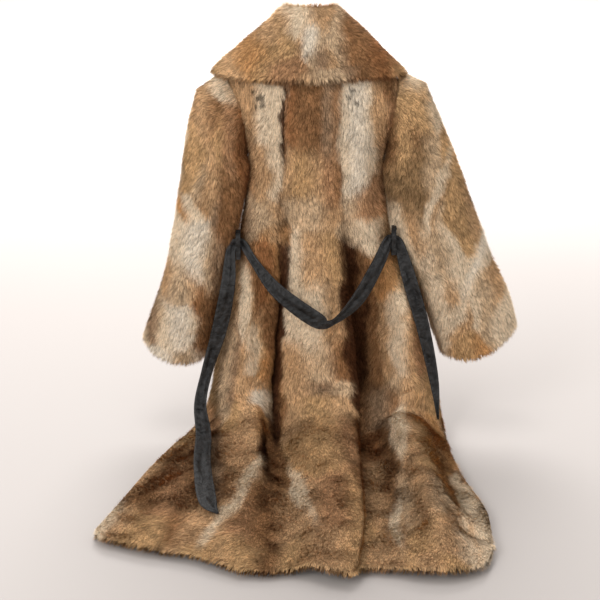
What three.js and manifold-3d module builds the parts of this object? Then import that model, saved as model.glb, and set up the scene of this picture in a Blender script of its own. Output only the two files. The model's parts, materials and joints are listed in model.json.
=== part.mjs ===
// A full-length fur coat hung on a plain hanger, its back towards -Y.
// The skirt reaches the floor, turns there and lies on it towards -Y, the back on top of the fronts.
// Millimetres, +Z up. The origin is where the hook bears on its rail. The wearer's left is -X.
import * as THREE from "three";
import { mergeVertices } from "three/addons/utils/BufferGeometryUtils.js";
import Module from "manifold-3d";

const wasm = await Module();
wasm.setup();

// Driving dimensions
const FLOOR_Z = -950; // the floor, below the hook's bearing point
const TURN_RADIUS = 150; // of the middle surface, where the skirt turns onto the floor
const FUR_WALL = 10; // skin, lining and the pile as it lies
const COLLAR_WALL = 12;
const LINING_WALL = 1.5;
const GAP = 0.3; // from each piece to its seam
const SEAM_TRIM = 0.6; // from each gore of the skirt to the fold line that it ends on
const FOLD_COLUMNS = 3; // wall columns from one fold line to the next
const BODICE_ROWS = 2; // wall rows from one section to the next
const SKIRT_ROWS = 3;
const VALLEY_LIFT = 1.5; // how far the wall's thickness turns out of a deep fold
const SLIVER = 0.05; // faces left by a cut are merged when this close
const WELD = 0.002;
const SLOPE_STEP = 0.15; // of a fold or a section, over which the slope is measured

const FUR = { color: 0xa07a54, roughness: 0.95, metalness: 0 };
const SATIN = { color: 0x1b1918, roughness: 0.45, metalness: 0 };
const HIDE = { color: 0x2b2a2b, roughness: 0.55, metalness: 0 };
const WOOD = { color: 0xb58a5a, roughness: 0.5, metalness: 0 };
const WIRE = { color: 0xb9bcc0, roughness: 0.3, metalness: 1 };

// Sections of the body. Down is the distance below the hook, share the part of the hem's reach.
// The waist has neither, since its height is each fold line's own.
const BODICE_SECTIONS = [
  { name: "neck", down: 88 },
  { name: "slope", down: 130 },
  { name: "shoulder", down: 178 },
  { name: "chest", down: 250 },
  { name: "underarm", down: 340 },
  { name: "ribs", down: 425 },
  { name: "waist" },
];
const SKIRT_SECTIONS = [
  { name: "waist" },
  { name: "hip", down: 650 },
  { name: "knee", down: 780 },
  { name: "ankle", down: 900 },
  { name: "bend", down: 975 },
  { name: "rear", share: 0.05 },
  { name: "mid", share: 0.38 },
  { name: "low", share: 0.72 },
  { name: "hem", share: 1 },
];

// The back's fold lines, from its left side seam to its right one.
// Each crosses the waist seam at its own height and reaches its own way past the turn.
const FOLD_LINES = {
  left_seam: { waist: 528, reach: 362 },
  left_turn: { waist: 530, reach: 395 },
  left_crest: { waist: 532, reach: 447 },
  left_lip: { waist: 512, reach: 490 },
  left_valley: { waist: 498, reach: 486 },
  centre_left: { waist: 484, reach: 493 },
  centre_crest: { waist: 481, reach: 514 },
  centre_right: { waist: 484, reach: 520 },
  right_valley: { waist: 500, reach: 480 },
  right_foot: { waist: 512, reach: 483 },
  right_crest: { waist: 520, reach: 500 },
  right_turn: { waist: 518, reach: 475 },
  right_seam: { waist: 516, reach: 410 },
};
// x of each fold line at the bodice's sections
const BODICE_X = {
  left_seam: { neck: -48, slope: -112, shoulder: -160, chest: -132, underarm: -118, ribs: -123, waist: -140 },
  left_turn: { neck: -47, slope: -109, shoulder: -155, chest: -130, underarm: -118, ribs: -123, waist: -141 },
  left_crest: { neck: -36, slope: -80, shoulder: -108, chest: -98, underarm: -90, ribs: -96, waist: -114 },
  left_lip: { neck: -22, slope: -42, shoulder: -56, chest: -56, underarm: -57, ribs: -63, waist: -78 },
  left_valley: { neck: -18, slope: -36, shoulder: -48, chest: -47, underarm: -50, ribs: -56, waist: -62 },
  centre_left: { neck: -13, slope: -30, shoulder: -38, chest: -37, underarm: -41, ribs: -46, waist: -46 },
  centre_crest: { neck: 0, slope: 4, shoulder: 6, chest: 8, underarm: 7, ribs: 5, waist: 6 },
  centre_right: { neck: 15, slope: 32, shoulder: 49, chest: 53, underarm: 55, ribs: 58, waist: 62 },
  right_valley: { neck: 20, slope: 40, shoulder: 60, chest: 65, underarm: 66, ribs: 69, waist: 74 },
  right_foot: { neck: 25, slope: 49, shoulder: 72, chest: 79, underarm: 79, ribs: 82, waist: 92 },
  right_crest: { neck: 34, slope: 78, shoulder: 116, chest: 126, underarm: 118, ribs: 120, waist: 132 },
  right_turn: { neck: 47, slope: 108, shoulder: 167, chest: 169, underarm: 154, ribs: 157, waist: 172 },
  right_seam: { neck: 48, slope: 112, shoulder: 172, chest: 172, underarm: 154, ribs: 157, waist: 171 },
};
// Height of each fold line out of the body's middle surface
const BODICE_H = {
  left_seam: { neck: 0.3, slope: 0.3, shoulder: 0.3, chest: 31, underarm: 0.3, ribs: 0.3, waist: 0.3 },
  left_turn: { neck: 12, slope: 13, shoulder: 14, chest: 38, underarm: 15, ribs: 16, waist: 22 },
  left_crest: { neck: 24, slope: 35, shoulder: 46, chest: 57, underarm: 54, ribs: 53, waist: 58 },
  left_lip: { neck: 30, slope: 43, shoulder: 56, chest: 64, underarm: 61, ribs: 57, waist: 56 },
  left_valley: { neck: 28, slope: 39, shoulder: 49, chest: 55, underarm: 54, ribs: 51, waist: 48 },
  centre_left: { neck: 30, slope: 42, shoulder: 54, chest: 60, underarm: 59, ribs: 56, waist: 56 },
  centre_crest: { neck: 31, slope: 44, shoulder: 55, chest: 62, underarm: 61, ribs: 59, waist: 60 },
  centre_right: { neck: 30, slope: 42, shoulder: 54, chest: 60, underarm: 60, ribs: 58, waist: 57 },
  right_valley: { neck: 28, slope: 38, shoulder: 48, chest: 53, underarm: 53, ribs: 51, waist: 48 },
  right_foot: { neck: 27, slope: 38, shoulder: 49, chest: 55, underarm: 55, ribs: 53, waist: 51 },
  right_crest: { neck: 24, slope: 35, shoulder: 46, chest: 56, underarm: 56, ribs: 56, waist: 58 },
  right_turn: { neck: 12, slope: 13, shoulder: 14, chest: 38, underarm: 15, ribs: 16, waist: 22 },
  right_seam: { neck: 0.3, slope: 0.3, shoulder: 0.3, chest: 31, underarm: 0.3, ribs: 0.3, waist: 0.3 },
};
const SKIRT_X = {
  left_seam: { hip: -170, knee: -187, ankle: -206, bend: -240, rear: -278, mid: -322, low: -358, hem: -390 },
  left_turn: { hip: -174, knee: -190, ankle: -205, bend: -222, rear: -248, mid: -290, low: -320, hem: -352 },
  left_crest: { hip: -132, knee: -142, ankle: -146, bend: -126, rear: -116, mid: -122, low: -142, hem: -200 },
  left_lip: { hip: -76, knee: -88, ankle: -96, bend: -92, rear: -88, mid: -80, low: -78, hem: -110 },
  left_valley: { hip: -60, knee: -70, ankle: -77, bend: -70, rear: -58, mid: -44, low: -24, hem: -34 },
  centre_left: { hip: -40, knee: -42, ankle: -44, bend: -36, rear: -24, mid: -6, low: 12, hem: 0 },
  centre_crest: { hip: 20, knee: 27, ankle: 32, bend: 34, rear: 36, mid: 42, low: 50, hem: 40 },
  centre_right: { hip: 78, knee: 92, ankle: 102, bend: 100, rear: 98, mid: 98, low: 96, hem: 74 },
  right_valley: { hip: 82, knee: 95, ankle: 103, bend: 102, rear: 101, mid: 102, low: 100, hem: 88 },
  right_foot: { hip: 126, knee: 134, ankle: 141, bend: 142, rear: 146, mid: 158, low: 168, hem: 140 },
  right_crest: { hip: 192, knee: 208, ankle: 213, bend: 200, rear: 206, mid: 222, low: 228, hem: 225 },
  right_turn: { hip: 222, knee: 256, ankle: 276, bend: 280, rear: 280, mid: 276, low: 286, hem: 300 },
  right_seam: { hip: 218, knee: 250, ankle: 272, bend: 284, rear: 292, mid: 306, low: 334, hem: 330 },
};
const SKIRT_H = {
  left_seam: { hip: 0.3, knee: 0.3, ankle: 6, bend: 12, rear: 15.5, mid: 15.5, low: 15.5, hem: 15.5 },
  left_turn: { hip: 42, knee: 45, ankle: 40, bend: 30, rear: 22, mid: 19, low: 19, hem: 17 },
  left_crest: { hip: 78, knee: 90, ankle: 92, bend: 78, rear: 62, mid: 44, low: 34, hem: 20 },
  left_lip: { hip: 60, knee: 68, ankle: 64, bend: 48, rear: 36, mid: 26, low: 20, hem: 17 },
  left_valley: { hip: 30, knee: 24, ankle: 20, bend: 17, rear: 17, mid: 16.5, low: 16.5, hem: 16 },
  centre_left: { hip: 62, knee: 70, ankle: 74, bend: 62, rear: 50, mid: 38, low: 34, hem: 30 },
  centre_crest: { hip: 76, knee: 90, ankle: 94, bend: 84, rear: 72, mid: 54, low: 44, hem: 34 },
  centre_right: { hip: 66, knee: 80, ankle: 86, bend: 76, rear: 64, mid: 46, low: 38, hem: 29 },
  right_valley: { hip: 28, knee: 22, ankle: 20, bend: 17, rear: 17, mid: 16.5, low: 16.5, hem: 16 },
  right_foot: { hip: 30, knee: 24, ankle: 24, bend: 20, rear: 18, mid: 16.5, low: 16.5, hem: 16 },
  right_crest: { hip: 84, knee: 94, ankle: 96, bend: 68, rear: 72, mid: 60, low: 48, hem: 26 },
  right_turn: { hip: 46, knee: 50, ankle: 48, bend: 36, rear: 30, mid: 22, low: 22, hem: 18 },
  right_seam: { hip: 0.3, knee: 0.3, ankle: 6, bend: 12, rear: 15.5, mid: 15.5, low: 15.5, hem: 15.5 },
};

// The fronts hang this deep behind the middle surface, in full and at their seams with the back.
const FRONT_DEPTH = { neck: 26, slope: 34, shoulder: 42, chest: 47, underarm: 47, ribs: 45, waist: 44 };
const FRONT_SEAM = { neck: 0.3, slope: 0.3, shoulder: 0.3, chest: 31, underarm: 0.3, ribs: 0.3, waist: 0.3 };
const FRONT_SKIRT_DEPTH = { hip: 42, knee: 40, ankle: 34, bend: 14, rear: 0, mid: 0, low: 0, hem: 0 };
const FRONT_SKIRT_SEAM = { hip: 0.3, knee: 0.3, ankle: 0, bend: 0, rear: 0, mid: 0, low: 0, hem: 0 };
const FRONTS = {
  left: { seam: "left_seam", edge: 66, side: -1 },
  right: { seam: "right_seam", edge: 22, side: 1 },
};
const FRONT_WAIST = 500; // down to the fronts' waist seam at their edges
const FRONT_REACH = 430; // of the fronts' hems at their edges
const FRONT_TURN = 38; // width over which a front turns back to its side seam
const FRONT_COLUMNS = { turn: 3, panel: 5, step: 2, lap: 2 };
const OVERLAP_STEP = 15; // the left front passes this far inside the right one
const OVERLAP_RAMP = 34; // width over which it steps in
const FLUTE = { height: 6, length: 76, clear: 40, fade: 30 }; // soft folds of the front skirts
const NECKLINE = { half: 46, drop: 64, slant: 0.6 }; // the V between the fronts

// Sleeve rings, from the end nearer the body to the outer one, x out from the middle.
const LEFT_SLEEVE = [
  { name: "head", inner_x: 126, inner_z: -350, outer_x: 222, outer_z: -218, deep: 42, y: -8 },
  { name: "biceps", inner_x: 128, inner_z: -374, outer_x: 244, outer_z: -300, deep: 48, y: -14 },
  { name: "upper", inner_x: 138, inner_z: -418, outer_x: 260, outer_z: -402, deep: 52, y: -20 },
  { name: "elbow", inner_x: 155, inner_z: -498, outer_x: 279, outer_z: -508, deep: 52, y: -26 },
  { name: "forearm", inner_x: 177, inner_z: -590, outer_x: 303, outer_z: -612, deep: 52, y: -32 },
  { name: "wrist", inner_x: 198, inner_z: -690, outer_x: 334, outer_z: -694, deep: 54, y: -36 },
  { name: "cuff", inner_x: 214, inner_z: -768, outer_x: 349, outer_z: -738, deep: 56, y: -38 },
];
const RIGHT_SLEEVE = [
  { name: "head", inner_x: 162, inner_z: -350, outer_x: 236, outer_z: -206, deep: 42, y: -8 },
  { name: "biceps", inner_x: 165, inner_z: -374, outer_x: 266, outer_z: -272, deep: 50, y: -14 },
  { name: "upper", inner_x: 172, inner_z: -426, outer_x: 302, outer_z: -356, deep: 54, y: -20 },
  { name: "elbow", inner_x: 190, inner_z: -514, outer_x: 342, outer_z: -458, deep: 54, y: -26 },
  { name: "forearm", inner_x: 226, inner_z: -602, outer_x: 386, outer_z: -566, deep: 54, y: -32 },
  { name: "wrist", inner_x: 260, inner_z: -692, outer_x: 424, outer_z: -646, deep: 56, y: -36 },
  { name: "cuff", inner_x: 288, inner_z: -768, outer_x: 443, outer_z: -706, deep: 57, y: -38 },
];
const SLEEVE_COLUMNS = 16;
const SLEEVE_ROWS = 2;
const ARMHOLE = { from: 2, to: 4, stand: 5.4 }; // its sections, and a sleeve's distance from its two ends
const CUFF_DIP = 20; // the cuff's faces hang lower than its two ends
const LINING = { rings: 2, shows: 7 }; // of the sleeve's rings it covers, and what shows past the cuff

// Half sizes of the collar's rings, from its neck seam over the roll and down the fall
const COLLAR_RINGS = [
  { name: "seam", left: 46, right: 46, back: 29, front: 26, z: -87.4 },
  { name: "stand", left: 43, right: 45, back: 28, front: 27, z: -70 },
  { name: "inside", left: 42, right: 47, back: 31, front: 30, z: -60 },
  { name: "roll", left: 47, right: 55, back: 37, front: 36, z: -53.5 },
  { name: "outside", left: 56, right: 67, back: 46, front: 45, z: -61 },
  { name: "fall", left: 84, right: 96, back: 57, front: 58, z: -87 },
  { name: "shoulder", left: 119, right: 128, back: 66, front: 69, z: -116 },
  { name: "cape", left: 155, right: 160, back: 71, front: 75, z: -147 },
  { name: "edge", left: 188, right: 191, back: 75, front: 79, z: -175 },
];
const COLLAR = { columns: 36, end: 158, dip: 9 }; // its front ends in degrees from the nape

// The belt's centreline, with its width and its face's turn away from -Y
const BELT = [
  { name: "left_tip", x: -166, y: -500, z: -908, wide: 4, turn: 90 },
  { name: "left_point", x: -188, y: -462, z: -902, wide: 34, turn: 90 },
  { name: "left_flat", x: -207, y: -340, z: -892, wide: 34, turn: 90 },
  { name: "left_floor", x: -214, y: -220, z: -884, wide: 32, turn: 84 },
  { name: "left_twist", x: -226, y: -140, z: -856, wide: 26, turn: 40 },
  { name: "left_low", x: -214, y: -106, z: -800, wide: 24, turn: -30 },
  { name: "left_hang", x: -184, y: -98, z: -700, wide: 32, turn: 0 },
  { name: "left_high", x: -165, y: -97, z: -606, wide: 30, turn: 0 },
  { name: "left_drop", x: -159, y: -62, z: -538, wide: 20, turn: 0 },
  { name: "left_loop", x: -146, y: -56.5, z: -527, wide: 20, turn: 0 },
  { name: "slack_start", x: -134, y: -61, z: -528, wide: 22, turn: 0 },
  { name: "slack_left", x: -110, y: -88, z: -558, wide: 28, turn: 20 },
  { name: "slack_fall", x: -62, y: -106, z: -616, wide: 32, turn: 26 },
  { name: "slack_low", x: 18, y: -114, z: -676, wide: 34, turn: 8 },
  { name: "slack_twist", x: 52, y: -112, z: -682, wide: 28, turn: -14 },
  { name: "slack_rise", x: 102, y: -110, z: -634, wide: 30, turn: -22 },
  { name: "slack_right", x: 144, y: -92, z: -562, wide: 28, turn: -16 },
  { name: "slack_end", x: 166, y: -63, z: -522, wide: 22, turn: 0 },
  { name: "right_loop", x: 178, y: -59, z: -519, wide: 20, turn: 0 },
  { name: "right_drop", x: 190, y: -64, z: -530, wide: 22, turn: 0 },
  { name: "right_high", x: 212, y: -84, z: -600, wide: 30, turn: 0 },
  { name: "right_hang", x: 242, y: -94, z: -700, wide: 28, turn: 10 },
  { name: "right_low", x: 268, y: -108, z: -815, wide: 20, turn: 40 },
  { name: "right_tip", x: 277, y: -136, z: -893, wide: 4, turn: 50 },
];
const BELT_STEPS = 3;
const LEATHER = 2.4; // folded and stitched
const LOOP = { tall: 58, wide: 9, stand: 23, thick: 2.4 };
const LOOPS = { left: { x: -144, foot: 50, z: -529 }, right: { x: 178, foot: 50, z: -519 } };

const SHOULDER_SEAM = [0, 1, 2]; // its sections
const HANGER = { thick: 11, tall: 26, inwards: 9, below: 6.5, round: 5 };
const HOOK = { inner: 20, wire: 2, from: 205, to: -64, straight: -52, steps: 24, sides: 8 };

// Curves and frames
const LINES = Object.keys(FOLD_LINES);
const LAST_LINE = LINES.length - 1;
const TURN_START = -FLOOR_Z - TURN_RADIUS;
const TURN_LENGTH = (Math.PI / 2) * TURN_RADIUS;
const FLOOR_START = TURN_START + TURN_LENGTH;
const clamp = (value, low, high) => Math.min(Math.max(value, low), high);
const lerp = (from, to, t) => from + (to - from) * t;
const smooth = (t) => clamp(t, 0, 1) ** 2 * (3 - 2 * clamp(t, 0, 1));

// A smooth curve through evenly spaced values
function curve(values, at) {
  const last = values.length - 1;
  const i = clamp(Math.floor(at), 0, last - 1);
  const t = at - i;
  const before = i > 0 ? values[i - 1] : 2 * values[0] - values[1];
  const after = i + 2 <= last ? values[i + 2] : 2 * values[last] - values[last - 1];
  const out = (values[i + 1] - before) / 2;
  const into = (after - values[i]) / 2;
  const [a, b] = [1 - t, t];
  const here = a * a * ((1 + 2 * b) * values[i] + b * out);
  return here + b * b * ((1 + 2 * a) * values[i + 1] - a * into);
}

// A point of the body, from its distance down the middle surface and its height out of it.
function place({ x, down, height }) {
  if (down <= TURN_START) return new THREE.Vector3(x, -height, -down);
  if (down >= FLOOR_START) {
    return new THREE.Vector3(x, -TURN_RADIUS - (down - FLOOR_START), FLOOR_Z + height);
  }
  const angle = (down - TURN_START) / TURN_RADIUS;
  const r = TURN_RADIUS - height;
  return new THREE.Vector3(x, r * Math.cos(angle) - TURN_RADIUS, -TURN_START - r * Math.sin(angle));
}
function unplace(p) {
  const y = p.y + TURN_RADIUS;
  const z = p.z + TURN_START;
  if (z >= 0) return { x: p.x, down: -p.z, height: -p.y };
  if (y <= 0) return { x: p.x, down: FLOOR_START - y, height: p.z - FLOOR_Z };
  const down = TURN_START + TURN_RADIUS * Math.atan2(-z, y);
  return { x: p.x, down, height: TURN_RADIUS - Math.hypot(y, z) };
}
// The surface between back and fronts. It leaves room for the fronts' wall on the floor.
const parting = (down) => FUR_WALL * smooth((down - TURN_START) / TURN_LENGTH);

const withWaist = (skirt, bodice) =>
  Object.fromEntries(LINES.map((line) => [line, { waist: bodice[line].waist, ...skirt[line] }]));
const BODICE = { sections: BODICE_SECTIONS, x: BODICE_X, h: BODICE_H, depth: FRONT_DEPTH, seam: FRONT_SEAM };
const SKIRT = {
  sections: SKIRT_SECTIONS,
  x: withWaist(SKIRT_X, BODICE_X),
  h: withWaist(SKIRT_H, BODICE_H),
  depth: { waist: FRONT_DEPTH.waist, ...FRONT_SKIRT_DEPTH },
  seam: { waist: FRONT_SEAM.waist, ...FRONT_SKIRT_SEAM },
};
function downOf(section, waist, reach) {
  if (section.share !== undefined) return FLOOR_START + section.share * reach;
  return section.down ?? waist;
}

// The back's wall runs through this point, u counted in fold lines and v in sections.
function backAt(part, u, v) {
  const across = (value) =>
    curve(part.sections.map((section) => curve(LINES.map((line) => value(line, section)), u)), v);
  return {
    x: across((line, section) => part.x[line][section.name]),
    height: across((line, section) => part.h[line][section.name]),
    down: across((line, section) => downOf(section, FOLD_LINES[line].waist, FOLD_LINES[line].reach)),
  };
}
const valley = (u) =>
  Math.max(...["left_valley", "right_valley"].map((line) => 1 - Math.abs(u - LINES.indexOf(line))), 0);

// The fronts' wall, u from the side seam to the front edge and v in sections.
function frontAt(front, part, u, v) {
  const { seam, edge, side } = FRONTS[front];
  const along = (value) => curve(part.sections.map(value), v);
  const seamX = along((section) => part.x[seam][section.name]);
  const full = along((section) => part.depth[section.name]);
  const least = along((section) => part.seam[section.name]);
  const seamDown = along((section) => downOf(section, FOLD_LINES[seam].waist, FOLD_LINES[seam].reach));
  const edgeDown = along((section) => downOf(section, FRONT_WAIST, FRONT_REACH));
  const { turn: turns, panel, step, lap } = FRONT_COLUMNS;
  const stepFrom = front === "left" ? FRONTS.right.edge - OVERLAP_RAMP : lerp(edge, seamX, 0.3);
  const stepTo = front === "left" ? FRONTS.right.edge : lerp(edge, seamX, 0.15);
  const turned = seamX - side * Math.min(FRONT_TURN, Math.abs(seamX - stepFrom) / 2);
  const turn = Math.min(u / turns, 1) * (Math.PI / 2);
  const past = Math.max(u - turns, 0);
  const stations = [turned, stepFrom, stepTo, edge];
  const widths = [panel, step, lap];
  let x = lerp(turned, seamX, Math.cos(turn));
  widths.reduce((start, width, i) => {
    if (past > start) x = lerp(stations[i], stations[i + 1], Math.min((past - start) / width, 1));
    return start + width;
  }, 0);
  const neck = part === BODICE ? neckDrop(side * x, v) : 0;
  const down = lerp(seamDown, edgeDown, smooth(past / panel)) + neck;
  const fluted = part === SKIRT ? smooth(v / 2) * (full / part.depth.waist) : 0;
  const free = smooth((Math.abs(x - LEFT_OF_OVERLAP) - FLUTE.clear) / FLUTE.fade);
  const flute = FLUTE.height * fluted * free * Math.sin(turn) * Math.sin((2 * Math.PI * x) / FLUTE.length);
  const depth = least + (full - least) * Math.sin(turn) + flute - stepIn(front, x, down);
  return { x, down, height: parting(down) / 2 - depth };
}
const LEFT_OF_OVERLAP = (FRONTS.left.edge + FRONTS.right.edge) / 2;
function stepIn(front, x, down) {
  if (front === "right") return 0;
  const least = FUR_WALL + 2 * GAP;
  const step = lerp(OVERLAP_STEP, least, parting(down) / FUR_WALL);
  return step * smooth((x - FRONTS.right.edge + OVERLAP_RAMP) / OVERLAP_RAMP);
}
// The V of the neckline, at a distance out from the middle
function neckDrop(out, v) {
  const drop = NECKLINE.drop * smooth(1 - Math.max(out, 0) / NECKLINE.half);
  return (drop + NECKLINE.slant * Math.max(-out, 0)) * (1 - smooth(v / 3));
}

// Walls
function grid(rows, columns, point) {
  const row = (r) => Array.from({ length: columns + 1 }, (_, c) => point(r, c));
  return Array.from({ length: rows + 1 }, (_, r) => row(r));
}
// A closed body between two grids. In a ring the last column repeats the first.
function shell({ outer, inner }, ring = false) {
  const rows = outer.length - 1;
  const columns = outer[0].length - 1;
  const count = ring ? columns : columns + 1;
  const points = [outer, inner].flatMap((side) => side.flatMap((row) => row.slice(0, count)));
  const at = (side, r, c) => (side * (rows + 1) + r) * count + (c % count);
  const faces = [];
  const quad = (a, b, c, d) => faces.push(a, b, c, a, c, d);
  for (let c = 0; c < columns; c++) {
    for (let r = 0; r < rows; r++) {
      quad(at(0, r, c), at(0, r, c + 1), at(0, r + 1, c + 1), at(0, r + 1, c));
      quad(at(1, r, c), at(1, r + 1, c), at(1, r + 1, c + 1), at(1, r, c + 1));
    }
    quad(at(0, 0, c), at(1, 0, c), at(1, 0, c + 1), at(0, 0, c + 1));
    quad(at(0, rows, c), at(0, rows, c + 1), at(1, rows, c + 1), at(1, rows, c));
  }
  for (let r = 0; r < rows && !ring; r++) {
    quad(at(0, r, 0), at(0, r + 1, 0), at(1, r + 1, 0), at(1, r, 0));
    quad(at(0, r, columns), at(1, r, columns), at(1, r + 1, columns), at(0, r + 1, columns));
  }
  return solid(points, faces);
}
// A manifold solid whose faces point out, whichever way its grids ran
function solid(points, faces) {
  const parts = (i) => [points[faces[i]], points[faces[i + 1]], points[faces[i + 2]]];
  let volume = 0;
  for (let i = 0; i < faces.length; i += 3) {
    const [a, b, c] = parts(i);
    volume += a.dot(b.clone().cross(c));
  }
  for (let i = 0; i < faces.length && volume < 0; i += 3) {
    [faces[i], faces[i + 1]] = [faces[i + 1], faces[i]];
  }
  const vertProperties = new Float32Array(points.flatMap((p) => [p.x, p.y, p.z]));
  return new wasm.Manifold(new wasm.Mesh({ numProp: 3, vertProperties, triVerts: new Uint32Array(faces) }));
}
// What is left of a piece beside its neighbours, each moved a little every way
function trimmed(piece, neighbours) {
  const ways = [0, 1, 2].flatMap((axis) => [-2 * GAP, 0, 2 * GAP].map((by) => [0, 0, 0].with(axis, by)));
  const cutters = neighbours.flatMap((other) => ways.map((way) => other.translate(way)));
  const left = cutters.reduce((rest, cutter) => rest.subtract(cutter), piece);
  const geometry = mergeVertices(geometryOf(left.asOriginal().simplify(SLIVER)), WELD);
  const vertProperties = geometry.getAttribute("position").array;
  const triVerts = new Uint32Array(geometry.index.array);
  const welded = new wasm.Manifold(new wasm.Mesh({ numProp: 3, vertProperties, triVerts }));
  return welded.decompose().sort((a, b) => b.volume() - a.volume())[0];
}
function geometryOf(piece) {
  const mesh = piece.getMesh();
  const geometry = new THREE.BufferGeometry();
  geometry.setAttribute("position", new THREE.BufferAttribute(mesh.vertProperties, 3));
  geometry.setIndex(new THREE.BufferAttribute(mesh.triVerts, 1));
  return geometry;
}

// The wall's thickness runs along this direction, out of the body.
function outOf(at, u, v, uMost, vMost, lift, level) {
  const before = place(at(Math.max(u - SLOPE_STEP, 0), v));
  const across = place(at(Math.min(u + SLOPE_STEP, uMost), v)).sub(before);
  const above = place(at(u, Math.max(v - SLOPE_STEP, 0)));
  const along = place(at(u, Math.min(v + SLOPE_STEP, vMost))).sub(above);
  if (level) along.set(0, 0, -1);
  const here = at(u, v);
  const up = place({ ...here, height: here.height + 1 }).sub(place(here));
  const out = along.cross(across).normalize();
  return out.addScaledVector(up, lift).normalize();
}
// A wall round the surface that at gives. Its ends at the neck and at the waist seam are level.
function wall(part, sectionRows, columns, at, columnAt, uMost, lift, facing, kept) {
  const vMost = part.sections.length - 1;
  const rows = vMost * sectionRows;
  const spots = grid(rows, columns, (r, c) => {
    const v = r / sectionRows;
    const u = columnAt(c, v);
    const level = r === 0 || (part === BODICE && r === rows);
    const middle = place(at(u, v));
    if (level && v > 0) middle.z += GAP;
    if (level && part === SKIRT) middle.z -= GAP;
    return { middle, level, out: outOf(at, u, v, uMost, vMost, lift(u), level).multiplyScalar(facing) };
  });
  const side = (by) =>
    spots.map((row) =>
      row.map(({ middle, level, out }) => {
        const p = middle.clone().addScaledVector(out, by);
        if (level) p.z = middle.z;
        return kept(p);
      }),
    );
  const half = FUR_WALL / 2;
  const middle = spots.map((row) => row.map((spot) => spot.middle));
  return { outer: side(half), inner: side(-half), middle };
}
function keptOutside(p) {
  const spot = unplace(p);
  const least = parting(spot.down) + GAP;
  return spot.height < least ? place({ ...spot, height: least }) : p;
}
function keptInside(front) {
  return (p) => {
    const spot = unplace(p);
    const step = spot.down > TURN_START ? stepIn(front, p.x, spot.down) : 0;
    const most = parting(spot.down) - GAP + step;
    const kept = spot.height > most ? place({ ...spot, height: most }) : p;
    kept.z = Math.max(kept.z, FLOOR_Z);
    return kept;
  };
}
// A piece of the back, from one fold line to another
function backWall(part, from, to, sectionRows) {
  const first = LINES.indexOf(from);
  const last = LINES.indexOf(to);
  const at = (u, v) => backAt(part, u, v);
  const share = (u, v) => (SEAM_TRIM * SLOPE_STEP) / place(at(u + SLOPE_STEP, v)).distanceTo(place(at(u, v)));
  const lift = (u) => VALLEY_LIFT * valley(u);
  const columnAt = (c, v) => {
    const u = first + c / FOLD_COLUMNS;
    if (u === first && first > 0) return u + share(u, v);
    return u === last && last < LAST_LINE ? u - share(u - SLOPE_STEP, v) : u;
  };
  const columns = (last - first) * FOLD_COLUMNS;
  return wall(part, sectionRows, columns, at, columnAt, LAST_LINE, lift, 1, keptOutside);
}
function frontWall(front, part, sectionRows) {
  const columns = Object.values(FRONT_COLUMNS).reduce((sum, count) => sum + count);
  const at = (u, v) => frontAt(front, part, u, v);
  const { side } = FRONTS[front];
  return wall(part, sectionRows, columns, at, (c) => c, columns, () => 0, side, keptInside(front));
}

const backBodice = backWall(BODICE, "left_seam", "right_seam", BODICE_ROWS);
const frontBodice = {
  left: frontWall("left", BODICE, BODICE_ROWS),
  right: frontWall("right", BODICE, BODICE_ROWS),
};
const bodiceSolids = [shell(backBodice), shell(frontBodice.left), shell(frontBodice.right)];

// Where the armhole's edge runs: t goes round it from the shoulder by the back to the underarm and up the front.
function armholeAt(front, t) {
  const back = front === "left" ? 0 : LAST_LINE * FOLD_COLUMNS;
  const onBack = t <= 1;
  const share = onBack ? t : 2 - t;
  const row = lerp(ARMHOLE.from, ARMHOLE.to, share) * BODICE_ROWS;
  const above = Math.min(Math.floor(row), ARMHOLE.to * BODICE_ROWS - 1);
  const edge = (r) => (onBack ? backBodice.middle[r][back] : frontBodice[front].middle[r][0]);
  return edge(above).clone().lerp(edge(above + 1), row - above);
}
// A sleeve's rings, with the armhole as the first. Thickness and lining follow its middle surface.
function sleeveMiddle(front, rings) {
  const side = FRONTS[front].side;
  const rows = rings.length * SLEEVE_ROWS;
  return grid(rows, SLEEVE_COLUMNS, (r, c) => {
    const t = (2 * (c % SLEEVE_COLUMNS)) / SLEEVE_COLUMNS;
    const angle = Math.PI * t;
    const hole = armholeAt(front, t);
    hole.x += side * (2 * GAP + ARMHOLE.stand * Math.cos(angle) ** 2);
    const ringAt = (k) => (name) => curve(rings.map((ring) => ring[name]), k);
    const oval = (k) => {
      const value = ringAt(k);
      const across = (1 + Math.cos(angle)) / 2;
      const dip = CUFF_DIP * Math.sin(angle) ** 2 * smooth((k - rings.length + 3) / 2);
      return new THREE.Vector3(
        side * lerp(value("inner_x"), value("outer_x"), across),
        value("y") - value("deep") * Math.sin(angle),
        lerp(value("inner_z"), value("outer_z"), across) - dip,
      );
    };
    const along = r / SLEEVE_ROWS;
    return along < 1 ? hole.lerp(oval(0), along) : oval(along - 1);
  });
}
function ringOffset(middle, by) {
  const rows = middle.length - 1;
  const columns = middle[0].length - 1;
  const centres = middle.map((row) =>
    row.slice(0, columns).reduce((sum, p) => sum.add(p), new THREE.Vector3()).divideScalar(columns),
  );
  return middle.map((row, r) =>
    row.map((p, c) => {
      const across = row[(c + 1) % columns].clone().sub(row[(c + columns - 1) % columns]);
      const along = middle[Math.min(r + 1, rows)][c].clone().sub(middle[Math.max(r - 1, 0)][c]);
      const out = along.cross(across).normalize();
      if (out.dot(p.clone().sub(centres[r])) < 0) out.negate();
      return p.clone().addScaledVector(out, by);
    }),
  );
}
const collarSolid = collar();
function sleeve(front, rings) {
  const middle = sleeveMiddle(front, rings);
  const tube = { outer: ringOffset(middle, FUR_WALL / 2), inner: ringOffset(middle, -FUR_WALL / 2) };
  return trimmed(shell(tube, true), [...bodiceSolids, collarSolid]);
}
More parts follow.
